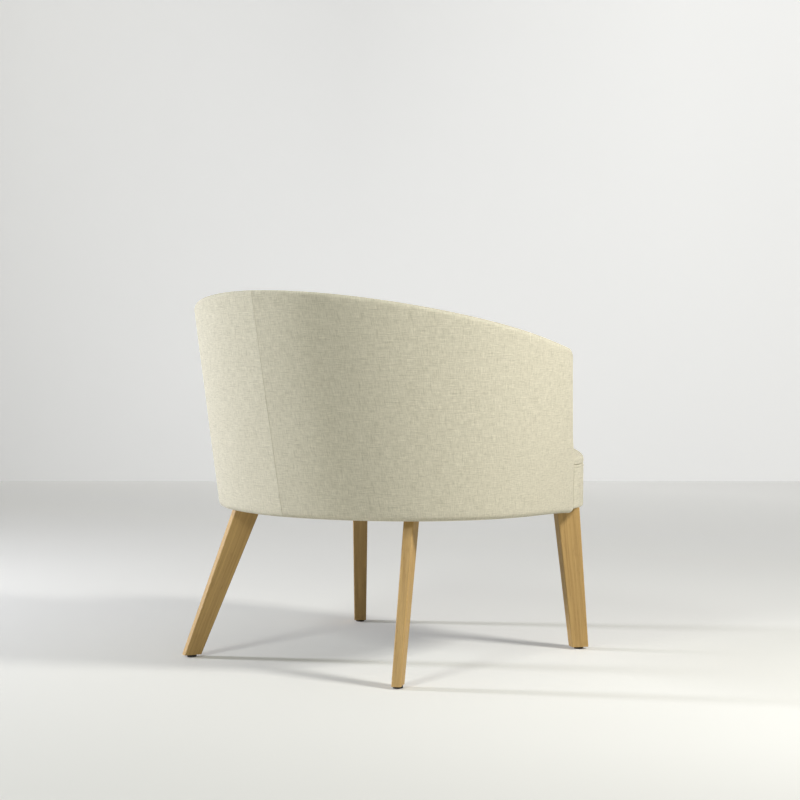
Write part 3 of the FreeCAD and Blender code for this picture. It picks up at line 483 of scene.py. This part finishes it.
def cloth_material(name, weave, dark, pale, pitch, relief, on_cloth=True):
    """Woven cloth from the weave group: two yarn colours, its pitch in metres and its relief in metres."""
    made, shader = new_material(name)
    net = Wiring(made.node_tree)
    place = net.add("ShaderNodeUVMap", uv_map="cloth") if on_cloth else net.add("ShaderNodeTexCoord")
    group = net.add("ShaderNodeGroup", node_tree=weave)
    group.inputs["Yarn Pitch"].default_value = pitch
    net.join(place.outputs["UV" if on_cloth else "Object"], group.inputs["Cloth"])
    net.surface(shader, group, dark, pale, relief, rough=(0.93, 0.82))
    for socket, value in (("Specular IOR Level", 0.25), ("Sheen Weight", 0.12), ("Sheen Roughness", 0.5)):
        shader.inputs[socket].default_value = value
    return made


weave = woven_group()
linen = cloth_material("linen", weave, dark=(0.500, 0.466, 0.349), pale=(0.812, 0.765, 0.609), pitch=0.0011,
                       relief=0.0005)
LINING_CLOTH_START = 3


def cover_grids(outer, side):
    """Edge band and face of the outer cover or of the lining on one side, in the form for cloth_mesh. The
    lining is cut from another stretch of the cloth."""
    section, tight = [rolled_section(radius, outer) for radius in (EDGE_ROUND, ARM_EDGE_ROUND)]
    depth, roll, sign, cloth_start = 0.0, CENTRE_SEAM_ROLL, 1, 0
    if not outer:
        section, tight = section[::-1], tight[::-1]
        depth, roll, sign, cloth_start = WALL, 0.0, -1, LINING_CLOTH_START
    band, cloth, pull = tub_edge(section, tight, side, roll)
    over = int(np.argmax(section[:, 1] <= EDGE_ROUND + ROUNDING_SLACK))
    cloth[over:] = cloth_over_edge(band[over:], cloth[over:], pull[over:])
    face, face_cloth = tub_face(depth, band[0], side, roll, sign)
    return [(points, places * [side, 1] + [0, cloth_start], side * sign)
            for points, places in ((band, cloth), (face, face_cloth))]


for side, name in ((1, "left"), (-1, "right")):
    half = cloth_mesh("tub_cover_" + name, cover_grids(True, side))
    half.data.materials.append(linen)
    thicken(half, COVER)
    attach(half, "root")
    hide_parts("outer_cover_" + name)
lining = cloth_mesh("tub_lining", cover_grids(False, 1) + cover_grids(False, -1))
lining.data.materials.append(linen)
thicken(lining, COVER)
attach(lining, "root")
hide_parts("inner_cover", "back_foam")


# Cloth under the tub: the covers are turned in and stapled there, under a band of the same cloth.
UNDERSIDE_INSET, UNDERSIDE_RISE, UNDERSIDE_THICKNESS = 0.0085, 0.0009, 0.0012
UNDERSIDE_ROWS, UNDERSIDE_COLUMNS = 5, 161


def tub_underside():
    """Grid between two insets at the foot's height: columns at equal shares of the angle to the arm front."""
    depth = np.linspace(UNDERSIDE_INSET, WALL - UNDERSIDE_INSET, UNDERSIDE_ROWS)[:, None]
    share = np.linspace(-1, 1, UNDERSIDE_COLUMNS)[None, :]
    z = TUB_FOOT + UNDERSIDE_RISE + 0 * depth
    angle = np.abs(share) * tub_angle(front_line(z, UNDERSIDE_INSET), z, depth)
    points = tub_wall(angle, z + 0 * angle, depth, np.sign(share) + (share == 0))
    return points, unrolled(angle, z + depth)


points, cloth = tub_underside()
underside = cloth_mesh("tub_underside", [(points, cloth, -1)])
underside.data.materials.append(linen)
thicken(underside, UNDERSIDE_THICKNESS)
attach(underside, "root")


# Seat: a foam block under a crowned top panel, sewn to an upright border. The seam runs level round the
# front, with a row of topstitching below it. The border is turned in and stapled under the frame.
SEAT_BOTTOM, SEAT_SEAM, SEAT_SHOULDER = 0.3000, 0.3865, 0.3955
SEAT_GAP = 0.0001
SEAT_FRONT, SEAT_BOW, SEAT_CORNER, SEAT_CORNER_X = 0.3589, 0.0110, 0.1800, 0.1750
CROWN_REACH, CROWN_RISE = 0.235, 0.0460
FRONT_LEAN = 0.0108
SHOULDER_SET_IN, SHOULDER_REACH, SHOULDER_DRAW = 0.0001, 0.30, 0.0020
CORNER_Y = -(SEAT_FRONT - SEAT_BOW - SEAT_CORNER)
bow_radius = (SEAT_CORNER_X ** 2 + (SEAT_FRONT + CORNER_Y) ** 2 - SEAT_CORNER ** 2) / (
    2 * (SEAT_FRONT + CORNER_Y - SEAT_CORNER))
BOW_Y = bow_radius - SEAT_FRONT
INSIDE_POINTS, STEP_POINTS, CORNER_POINTS, FRONT_POINTS = 90, 12, 64, 39
BOW_SLACK = 0.020
CREVICE_HEIGHT, CREVICE_REACH = 0.415, 0.009
SEAT_WAVE, SEAT_WAVES, SEAT_WAVE_SHIFTS = 0.0005, (23, 19, 31), (1, 2)


def shoulder_swell(turn, z):
    """How far the corner arc is drawn sideways to lie flush with the tub's outer face: the difference at the
    arm front, times exp(-(angle past it / reach) squared). Above the seam it stays as at the seam."""
    z = min(z, SEAT_SEAM)
    shoulder = front_line(z, 0.0) - SEAT_GAP
    face = tub_wall(tub_angle(np.array(shoulder), z, 0.0), z, 0.0, 1)[0] - SHOULDER_SET_IN
    first = math.acos((shoulder - CORNER_Y) / SEAT_CORNER)
    edge = SEAT_CORNER_X + SEAT_CORNER * math.sin(first)
    return max(face - edge, -SHOULDER_DRAW) * np.exp(-(np.maximum(turn - first, 0) / SHOULDER_REACH) ** 2)


def seat_outline(inset, z):
    """Closed outline of the seat, from the middle of the back round by the left: it follows the tub's inner
    face, steps out in front of the arms, and closes with a corner arc and a wide front arc."""
    shoulder = front_line(z, 0.0) - SEAT_GAP - inset
    depth = WALL + SEAT_GAP + inset
    limit = float(tub_angle(np.array(shoulder), z, depth))
    inside = tub_wall(np.linspace(0, limit, INSIDE_POINTS), z, depth, 1)[:, :2]
    radius = SEAT_CORNER - inset
    first = math.acos((shoulder - CORNER_Y) / radius)
    last = math.pi - math.atan2(SEAT_CORNER_X, BOW_Y - CORNER_Y)
    turn = np.linspace(first, last, CORNER_POINTS)
    corner = np.stack([SEAT_CORNER_X + radius * np.sin(turn) + shoulder_swell(turn, z),
                       CORNER_Y + radius * np.cos(turn)], axis=-1)
    step = inside[-1] + (corner[0] - inside[-1]) * np.linspace(0, 1, STEP_POINTS + 2)[1:-1, None]
    turn = np.linspace(last, math.pi, FRONT_POINTS + 1)[1:]
    radius = bow_radius - inset
    front = np.stack([radius * np.sin(turn), BOW_Y + radius * np.cos(turn)], axis=-1)
    half = np.concatenate([inside, step, corner, front])
    half[0, 0] = half[-1, 0] = 0
    return np.concatenate([half, half[-2::-1] * [-1, 1]])


def free_distance(x, y):
    """Distance inwards from the seat's free edge: from the corner arc, from the front arc, or further back
    from the corner arc's end beside the arm. In the middle it exceeds the corner's by BOW_SLACK at most,
    which keeps the crown level there."""
    x = np.abs(x)
    shoulder = -(ARM_FOOT - FRONT_LEAN + SEAT_GAP)
    end_x = SEAT_CORNER_X + math.sqrt(SEAT_CORNER ** 2 - (shoulder - CORNER_Y) ** 2)
    end_x += shoulder_swell(0.0, SEAT_SEAM)
    swell = shoulder_swell(np.arctan2(x - SEAT_CORNER_X, y - CORNER_Y), SEAT_SEAM)
    corner = SEAT_CORNER + swell - np.hypot(np.maximum(x - SEAT_CORNER_X, 0), np.minimum(y - CORNER_Y, 0))
    bow = bow_radius - np.hypot(x, y - BOW_Y)
    side = np.hypot(end_x - x, np.maximum(y - shoulder, 0))
    front = np.where(x > SEAT_CORNER_X, corner, np.minimum(bow, corner + BOW_SLACK))
    return np.where(y > shoulder, side, front)


def tucked_distance(x, y, z):
    """Distance from the tub's inner face, and in front of the arms from the arm front."""
    x = np.abs(x)
    first, second, third = tub_arcs(z)
    depth = WALL + SEAT_GAP
    gaps = [arc[2] - depth - np.hypot(x - arc[0], y - arc[1]) for arc in (first, second, third)]
    angle = np.arctan2(x - first[0], y - first[1])
    inside = np.where(angle < BACK_ANGLE, gaps[0], np.where(y > second[1], gaps[1], gaps[2]))
    shoulder = front_line(z, 0.0) - SEAT_GAP
    inner = third[0] + np.sqrt((third[2] - depth) ** 2 - (shoulder - third[1]) ** 2)
    ahead = np.where(x > inner, shoulder - y, np.hypot(inner - x, shoulder - y))
    return np.where(y > shoulder, np.maximum(inside, 0), ahead)


def seat_height(x, y):
    """Crown of the seat: a quarter ellipse in from the free edge, which falls away into the crevice round
    the tub. Slow waves of half a millimetre are those of cloth over foam."""
    free = np.clip(free_distance(x, y), 0, CROWN_REACH)
    crown = CROWN_RISE * np.sqrt(1 - ((CROWN_REACH - free) / CROWN_REACH) ** 2)
    tucked = tucked_distance(x, y, CREVICE_HEIGHT)
    crown = crown * (1 - np.exp(-np.maximum(tucked, 0) / CREVICE_REACH))
    waves = SEAT_WAVE * (np.sin(SEAT_WAVES[0] * x + SEAT_WAVE_SHIFTS[0])
                         * np.sin(SEAT_WAVES[1] * y + SEAT_WAVE_SHIFTS[1]) + np.sin(SEAT_WAVES[2] * (x + y)))
    return SEAT_SHOULDER + crown + waves * np.minimum(crown / CROWN_RISE, 1)


def ring(outline, z):
    """Points of an outline at one height or at a height for each point."""
    return np.concatenate([outline, (z + np.zeros(len(outline)))[:, None]], axis=1)


def round_cloth(rings):
    """Cloth coordinates of rings: arc length round the first ring, and mean path length from it."""
    step = np.linalg.norm(np.diff(rings[0], axis=0), axis=-1)
    across = np.concatenate([[0], np.cumsum(step)])
    path = np.linalg.norm(np.diff(rings, axis=0), axis=-1).mean(axis=1)
    along = np.concatenate([[0], np.cumsum(path)])
    return np.stack(np.broadcast_arrays(across[None, :], along[:, None]), axis=-1)


PANEL_SEAM_TURN = (0.0034, 0.0002), (0.0014, 0.0005), (0.0005, 0.0013), (0.0, 0.0028), (0.0, 0.0060)
PANEL_INSETS = (0, 0.0003, 0.0009, 0.0018, 0.003, 0.0046, 0.0066, 0.009, 0.012, 0.016, 0.021, 0.027, 0.034)
PANEL_CLIMB, PANEL_CLIMB_REACH = 0.035, 0.010
PANEL_CENTRE_Y, PANEL_SHRINKS = -0.25, 29
SIDE_RINGS, SIDE_LAST_STEP = 12, 0.004
PANEL_CLOTH_START, BORDER_CLOTH_START = 5, 7


def seat_top():
    """Rings from the seam up the side and over the crown: inset outlines near the edge, then outlines
    shrunk towards a point of the front half, from which every ring is seen without a fold."""
    rings = []
    for inset, rise in PANEL_SEAM_TURN:
        rings.append(ring(seat_outline(inset, SEAT_SEAM), SEAT_SEAM + rise))
    for inset in PANEL_INSETS:
        climb = PANEL_CLIMB * (1 - math.exp(-inset / PANEL_CLIMB_REACH))
        outline = seat_outline(inset, SEAT_SEAM + climb)
        rings.append(ring(outline, seat_height(*outline.T)))
    centre = np.array([0, PANEL_CENTRE_Y])
    for share in np.linspace(1, 0, PANEL_SHRINKS + 1)[1:]:
        shrunk = centre + share * (outline - centre)
        rings.append(ring(shrunk, seat_height(*shrunk.T)))
    return np.array(rings)


rings = seat_top()
side_cloth = round_cloth(rings[:SIDE_RINGS])
side_cloth = np.concatenate([side_cloth, side_cloth[-1:] + [0, SIDE_LAST_STEP]])
top_cloth = rings[SIDE_RINGS:, :, :2] + [PANEL_CLOTH_START, 0]
panel = cloth_mesh("seat_panel", [(rings[:SIDE_RINGS + 1], side_cloth, 1),
                                  (rings[SIDE_RINGS:], top_cloth, 1)])
panel.data.materials.append(linen)
thicken(panel, COVER)
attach(panel, "root")
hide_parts("seat_top_cover", "seat_foam")

BORDER_TURN_UNDER = ((0.0300, -0.0012), (0.0120, -0.0012), (0.0050, -0.0012), (0.0025, -0.0009),
                     (0.0008, 0.0005), (0.0, 0.0035))
BORDER_FIRST_RISE, BORDER_LAST_DROP, BORDER_ROWS = 0.0090, 0.0085, 18
BORDER_SEAM_TURN = ((0.0002, 0.0066), (0.0015, 0.0054), (0.0002, 0.0042), (0.0001, 0.0026),
                    (0.0005, 0.0012), (0.0014, 0.0004), (0.0034, 0.0001))
levels = [(inset, SEAT_BOTTOM + rise) for inset, rise in BORDER_TURN_UNDER]
first_level, last_level = SEAT_BOTTOM + BORDER_FIRST_RISE, SEAT_SEAM - BORDER_LAST_DROP
levels += [(0.0, z) for z in np.linspace(first_level, last_level, BORDER_ROWS)]
levels += [(inset, SEAT_SEAM - drop) for inset, drop in BORDER_SEAM_TURN]
rings = np.array([ring(seat_outline(inset, max(z, SEAT_BOTTOM)), z) for inset, z in levels])
border = cloth_mesh("seat_border_cloth", [(rings, round_cloth(rings) + [0, BORDER_CLOTH_START], 1)])
border.data.materials.append(linen)
thicken(border, COVER)
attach(border, "root")
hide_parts("seat_border")


STITCH_DROP, STITCH_LIFT = 0.0054, 0.0001
STITCH_PITCH, STITCH_LENGTH, STITCH_RADIUS = 0.0058, 0.0043, 0.00042
STITCH_DIP, STITCH_END, STITCH_ROWS = 0.8, 0.04, 7
STITCH_LOOK = 0.001
STITCH_SHOULDER, STITCH_FRONT = 0.003, 0.004


def along_path(path, places):
    """Points at the given lengths along a path."""
    run = np.concatenate([[0], np.cumsum(np.linalg.norm(np.diff(path, axis=0), axis=-1))])
    return np.stack([np.interp(places, run, path[:, 0]), np.interp(places, run, path[:, 1])], axis=-1)


def stitches(path, z):
    """Row of short threads along a path: each is a closed six-sided tube whose ends dip into the cloth. Its
    thickness is the radius times the root of (1 - share ** 4), with share from -1 to 1 between its ends. All
    are one array: stitch centres plus the tube's unit shape times its sizes."""
    length = np.linalg.norm(np.diff(path, axis=0), axis=-1).sum()
    places = np.arange(STITCH_PITCH, length - STITCH_PITCH, STITCH_PITCH)
    centre, next_place = along_path(path, places), along_path(path, places + STITCH_LOOK)
    tangent = (next_place - centre) / np.linalg.norm(next_place - centre, axis=-1, keepdims=True)
    outward = np.stack([-tangent[:, 1], tangent[:, 0]], axis=-1)
    share = np.linspace(-1, 1, STITCH_ROWS)
    turn = np.radians([0, 60, 120, 180, 240, 300])
    thick = STITCH_RADIUS * np.sqrt(np.maximum(1 - share ** 4, STITCH_END))
    dip = STITCH_DIP * STITCH_RADIUS * share ** 2
    along = (share * STITCH_LENGTH / 2)[:, None] + 0 * turn
    out = thick[:, None] * np.cos(turn) - dip[:, None]
    up = thick[:, None] * np.sin(turn)
    xy = (centre[:, None, None, :] + tangent[:, None, None, :] * along[None, ..., None]
          + outward[:, None, None, :] * out[None, ..., None])
    points = np.concatenate([xy, np.broadcast_to(z + up, xy.shape[:3])[..., None]], axis=-1)
    index = np.arange(up.size).reshape(up.shape)
    beside = np.roll(index, -1, axis=1)
    quads = np.stack([index[:-1], beside[:-1], beside[1:], index[1:]], axis=-1).reshape(-1, 4)
    first, last = index[0], index[-1]
    caps = [first[[3, 2, 1, 0]], first[[5, 4, 3, 0]], last[[0, 1, 2, 3]], last[[0, 3, 4, 5]]]
    quads = np.concatenate([quads, caps])[None] + (np.arange(len(centre)) * up.size)[:, None, None]
    return points.reshape(-1, 3), quads.reshape(-1, 4)


stitch_height = SEAT_SEAM - STITCH_DROP
outline = seat_outline(-STITCH_LIFT, stitch_height)
free = outline[:, 1] < front_line(stitch_height, 0.0) - SEAT_GAP - STITCH_SHOULDER
on_front = np.hypot(outline[:, 0], outline[:, 1] - BOW_Y) > bow_radius - STITCH_FRONT
free &= on_front | (np.abs(outline[:, 0]) > SEAT_CORNER_X)
topstitch = faces_object("seat_topstitch", *stitches(outline[free][::-1], stitch_height))
thread = cloth_material("thread", weave, dark=(0.50, 0.465, 0.36), pale=(0.70, 0.66, 0.54), pitch=0.0004,
                        relief=0.0001, on_cloth=False)
topstitch.data.materials.append(thread)
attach(topstitch, "root")


# Legs: four tapered oak boards with eased edges, set on the slant, planed and finished with clear matt oil.
# The grain runs down each leg.
PORE_RANGE = 0.62, 0.70


def wood_group():
    """Straight-grained wood along Z. Tone is 0 in dark fibre and 1 in pale, Height is the open pores."""
    group, net, wood, ring_width, result = surface_group("straight_grain", "Wood", "Ring Width")
    parts = net.add("ShaderNodeSeparateXYZ")
    net.join(wood, parts.inputs[0])
    drift = net.noise(wood, stretch=(9, 9, 2.2))
    across = net.weighted((parts.outputs[0], 1.0), (parts.outputs[1], 0.45), (drift, 0.030))
    phase = net.calc("MULTIPLY", net.calc("DIVIDE", across, ring_width), 2 * math.pi)
    band = net.ranged(net.calc("SINE", phase), -1, 1)
    fibre = net.noise(wood, stretch=(620, 620, 9), detail=3.0, roughness=0.6)
    streak = net.noise(wood, stretch=(130, 130, 3.5), shift=(3, 1, 2))
    pore = net.noise(wood, stretch=(1500, 1500, 60), shift=(5, 2, 1), detail=1.0)
    pore = net.ranged(pore, *PORE_RANGE)
    tone = net.weighted((band, 0.12), (net.ranged(fibre, *NOISE_RANGE), 0.40),
                        (net.ranged(streak, *NOISE_RANGE), 0.36), (1.0, 0.08), (pore, -0.35))
    net.join(net.ranged(tone, 0, 1), result.inputs["Tone"])
    net.join(net.weighted((fibre, 0.3), (pore, -1.0)), result.inputs["Height"])
    return group


def wood_material(name, grain, dark, pale, ring_width, origin=(0, 0, 0), axes=None):
    """Wood from the grain group, its Z turned along the piece by a Mapping node."""
    made, shader = new_material(name)
    net = Wiring(made.node_tree)
    place = net.add("ShaderNodeMapping", vector_type="TEXTURE")
    net.join(net.add("ShaderNodeTexCoord").outputs["Object"], place.inputs["Vector"])
    place.inputs["Location"].default_value = origin
    if axes is not None:
        place.inputs["Rotation"].default_value = Matrix(axes).transposed().to_euler()
    group = net.add("ShaderNodeGroup", node_tree=grain)
    group.inputs["Ring Width"].default_value = ring_width
    net.join(place.outputs[0], group.inputs["Wood"])
    net.surface(shader, group, dark, pale, relief=0.00012, rough=(0.62, 0.48))
    return made


def dress(node, material):
    """Puts a material on a CAD node that is kept."""
    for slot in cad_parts[node].material_slots:
        slot.material = material


grain = wood_group()
OAK_DARK, OAK_PALE = (0.36, 0.212, 0.066), (0.62, 0.410, 0.150)
LEG_FOOT = {"rear": (0.2630, 0.2573), "front": (0.2910, -0.3048)}
LEG_TURN = {"rear": math.radians(64), "front": math.radians(50)}
LEG_RAKE = {"rear": 0.120, "front": 0.028}
LEG_HEIGHT = 0.2912
OAK_RING, HEART_SHIFT = 0.0075, (0.013, 0.021)
LEG_NAMES = ("rear_left", "rear_right", "front_left", "front_right")
for name in LEG_NAMES:
    row, side = name.split("_")
    x, y = LEG_FOOT[row]
    if side == "right":
        x = -x
    turn = LEG_TURN[row]
    outward = Vector((math.copysign(math.cos(turn), x), math.copysign(math.sin(turn), y), 0))
    up = (Vector((0, 0, LEG_HEIGHT)) - outward * LEG_RAKE[row]).normalized()
    through = up.cross(outward).normalized()
    axes = (through.cross(up), through, up)
    heart = (x + HEART_SHIFT[0], y + HEART_SHIFT[1], 0.0)
    dress("leg_" + name, wood_material("oak_" + name, grain, OAK_DARK, OAK_PALE, OAK_RING, heart, axes))


# Leg plates and fasteners: black powder-coated steel plates between legs and frame, whose black is partly
# painted shade in the dark gap above each leg, with zinc-plated bolts, inserts and screws.
def speckle_group():
    """Fine even grain of a coated, plated or moulded surface. Height is the fine grain, and Tone mixes it
    with broad clouds."""
    group, net, place, grain_size, result = surface_group("speckle", "Place", "Grain Size")
    scale = net.add("ShaderNodeVectorMath", operation="SCALE")
    net.join(place, scale.inputs[0])
    net.join(net.calc("DIVIDE", 1.0, grain_size), scale.inputs["Scale"])
    fine, broad = net.noise(scale.outputs[0]), net.noise(place, stretch=(35, 35, 35))
    tone = net.weighted((net.ranged(fine, *NOISE_RANGE), 0.5), (broad, 0.5))
    net.join(net.ranged(tone, 0, 1), result.inputs["Tone"])
    net.join(fine, result.inputs["Height"])
    return group


def coated_material(name, speckle, dark, pale, grain_size, rough, metallic=0.0, relief=0.00006):
    """Even surface from the speckle group: two colours and a range of roughness."""
    made, shader = new_material(name)
    net = Wiring(made.node_tree)
    group = net.add("ShaderNodeGroup", node_tree=speckle)
    group.inputs["Grain Size"].default_value = grain_size
    net.join(net.add("ShaderNodeTexCoord").outputs["Object"], group.inputs["Place"])
    net.surface(shader, group, dark, pale, relief, rough)
    shader.inputs["Metallic"].default_value = metallic
    return made


speckle = speckle_group()
# Black coat on the plates, partly painted shade: it darkens the gap above each leg.
coat_and_gap_shade = coated_material("black_coat_and_gap_shade", speckle, dark=(0.012, 0.012, 0.012),
                              pale=(0.022, 0.022, 0.023), grain_size=0.0005, rough=(0.55, 0.42))
zinc = coated_material("zinc_plate", speckle, dark=(0.42, 0.43, 0.44), pale=(0.62, 0.63, 0.65),
                       grain_size=0.0011, rough=(0.42, 0.26), metallic=1.0, relief=0.00002)
for name in LEG_NAMES:
    dress("leg_plate_" + name, coat_and_gap_shade)
for node in ("leg_bolts", "leg_inserts", "plate_screws", "glide_pins", "tub_screws"):
    dress(node, zinc)


# Glides: small black moulded discs with a chamfered foot, pinned into the ends of the legs.
glide_plastic = coated_material("glide_plastic", speckle, dark=(0.010, 0.010, 0.010),
                                pale=(0.020, 0.019, 0.018), grain_size=0.0004, rough=(0.62, 0.48))
for name in LEG_NAMES:
    dress("glide_" + name, glide_plastic)


# Seat frame and shell: beech rails and corner blocks, a bent plywood shell, elastic webbing and a black
# non-woven cloth stapled underneath.
beech = wood_material("beech", grain, dark=(0.50, 0.33, 0.19), pale=(0.68, 0.49, 0.31), ring_width=0.0032,
                      axes=(Vector((0, 1, 0)), Vector((0, 0, 1)), Vector((1, 0, 0))))
plywood = wood_material("plywood", grain, dark=(0.47, 0.32, 0.17), pale=(0.66, 0.50, 0.31), ring_width=0.0060)
for node in ("tub_base_rail", "frame_rail_front", "frame_rail_rear", "frame_rail_left", "frame_rail_right"):
    dress(node, beech)
for name in LEG_NAMES:
    dress("corner_block_" + name, beech)
dress("plywood_shell", plywood)
webbing = cloth_material("webbing", weave, dark=(0.020, 0.018, 0.016), pale=(0.075, 0.070, 0.064),
                         pitch=0.0024, relief=0.0006, on_cloth=False)
for number in (1, 2, 3, 4):
    dress("webbing_lengthwise_%d" % number, webbing)
    dress("webbing_crosswise_%d" % number, webbing)
non_woven = coated_material("dust_cloth", speckle, dark=(0.010, 0.010, 0.010), pale=(0.035, 0.034, 0.033),
                            grain_size=0.0016, rough=(0.95, 0.85), relief=0.0002)
dress("dust_cloth", non_woven)


# Studio: a pale floor that meets a pale wall behind, both paler still by a painted glow, and three soft
# lamps: a small one on the right of the view, a small cool one far to the left and a little behind the
# chair, and a larger one high up on the left in front of it.
FLOOR_REACH, WALL_BEHIND, WALL_HEIGHT = 9.0, 4.45, 5.0
CLOUD_TURNS, CLOUD_SHADE = (0.9, 0.9, 0.9), 0.98
GLOW_COLOR = (1.0, 1.0, 0.975)
FAR_ASIDE, FAR_IN_FRONT, FAR_GLOW = (2.2, 3.4), (-1.6, -2.8), 0.48
# The dip is painted shade high up in the middle of the wall.
DIP_MIDDLE, DIP_REACH, DIP_FOOT = -0.15, 1.45, 0.5
WORLD_LIGHT, WORLD_SEEN = 0.165, 0.78
LAMP_AIM = Vector((0, 0, 0.4))
view_ahead = np.array([*-toward, 0.0])
view_right = np.array([*rightward, 0.0])


def studio_plane(name, corners, material):
    """Flat face between four corners, as part of the stage."""
    mesh = bpy.data.meshes.new(name)
    mesh.from_pydata([tuple(corner) for corner in corners], [], [(0, 1, 2, 3)])
    plane = bpy.data.objects.new(name, mesh)
    bpy.context.collection.objects.link(plane)
    plane.data.materials.append(material)


def matt(name, color, glow, slopes, limits, dip=0.0):
    """Plain matt surface with painted light. For the camera alone it is also paler by a glow, which is
    painted light; it changes evenly with the distance to the right, behind the chair and up, and stays
    between its
    limits. The dip is painted shade: it takes some glow away high up in the middle, which the lamps reach,
    by dip times height above DIP_FOOT times nearness to the middle. Far to both sides and far in front,
    where no lamp shines, the glow rises by FAR_GLOW."""
    made, shader = new_material(name)
    net = Wiring(made.node_tree)
    place = net.add("ShaderNodeTexCoord").outputs["Object"]
    cloud = net.ranged(net.noise(place, stretch=CLOUD_TURNS), *NOISE_RANGE)
    shaded = [CLOUD_SHADE * part for part in color]
    net.join(net.blend(cloud, (*shaded, 1), (*color, 1)), shader.inputs["Base Color"])
    distances = [net.along(place, direction) for direction in (view_right, view_ahead, (0, 0, 1))]
    level = net.weighted((glow, 1.0), *zip(distances, slopes))
    off_middle = net.calc("ABSOLUTE", net.calc("SUBTRACT", distances[0], DIP_MIDDLE))
    middle = net.ranged(off_middle, 0, DIP_REACH, 1, 0)
    high = net.calc("MAXIMUM", net.calc("SUBTRACT", distances[2], DIP_FOOT), 0.0)
    level = net.weighted((level, 1.0), (net.calc("MULTIPLY", middle, high), -dip))
    aside = net.ranged(net.calc("ABSOLUTE", distances[0]), *FAR_ASIDE)
    far = net.calc("MAXIMUM", aside, net.ranged(distances[1], *FAR_IN_FRONT))
    level = net.weighted((net.ranged(level, *limits, *limits), 1.0), (far, FAR_GLOW))
    seen = net.calc("MULTIPLY", level, net.add("ShaderNodeLightPath").outputs["Is Camera Ray"])
    net.join(net.blend(seen, (0, 0, 0, 1), (*GLOW_COLOR, 1)), shader.inputs["Emission Color"])
    for socket, value in (("Emission Strength", 1.0), ("Roughness", 0.7), ("Specular IOR Level", 0.2)):
        shader.inputs[socket].default_value = value
    return made


far_left = view_ahead * WALL_BEHIND - view_right * FLOOR_REACH
far_right = view_ahead * WALL_BEHIND + view_right * FLOOR_REACH
forward = -view_ahead * (WALL_BEHIND + FLOOR_REACH)
upward = np.array([0, 0, WALL_HEIGHT])
# The floor's glow is painted light: paler to the right and further back.
pale_floor = matt("floor", color=(0.715, 0.710, 0.672), glow=0.105, slopes=(0.052, 0.074, 0.0),
                  limits=(0.0, 0.46))
# The wall's glow is painted light, paler to the right and higher up, with painted shade high in the middle.
pale_wall = matt("wall", color=(0.84, 0.84, 0.83), glow=0.367, slopes=(0.050, 0.0, 0.055), limits=(0.2, 0.6),
                 dip=0.066)
studio_plane("floor", [far_left + forward, far_right + forward, far_right, far_left], pale_floor)
studio_plane("wall", [far_left, far_right, far_right + upward, far_left + upward], pale_wall)


def soft_light(name, place, size, power, color):
    """Square area light aimed at the chair, at a place given along the view: right, towards it, up."""
    lamp = bpy.data.lights.new(name, "AREA")
    lamp.size = size
    lamp.energy = power
    lamp.color = color
    light = bpy.data.objects.new(name, lamp)
    bpy.context.collection.objects.link(light)
    light.location = (*(place[0] * rightward + place[1] * toward), place[2])
    light.rotation_euler = (LAMP_AIM - light.location).to_track_quat("-Z", "Y").to_euler()


soft_light("key", (1.66, 0.86, 1.65), size=0.40, power=41.3, color=(1.0, 0.992, 0.962))
soft_light("side", (-3.0, -0.7, 1.2), size=0.30, power=82.0, color=(0.89, 0.905, 1.0))
soft_light("front", (-1.6, 2.4, 2.2), size=0.70, power=37.7, color=(0.96, 1.0, 0.98))
world = bpy.data.worlds.new("studio")
bpy.context.scene.world = world
world.use_nodes = True
net = Wiring(world.node_tree)
background = world.node_tree.nodes["Background"]
background.inputs["Color"].default_value = (1.0, 0.98, 0.95, 1)
seen = net.add("ShaderNodeLightPath").outputs["Is Camera Ray"]
net.join(net.ranged(seen, 0, 1, WORLD_LIGHT, WORLD_SEEN), background.inputs["Strength"])
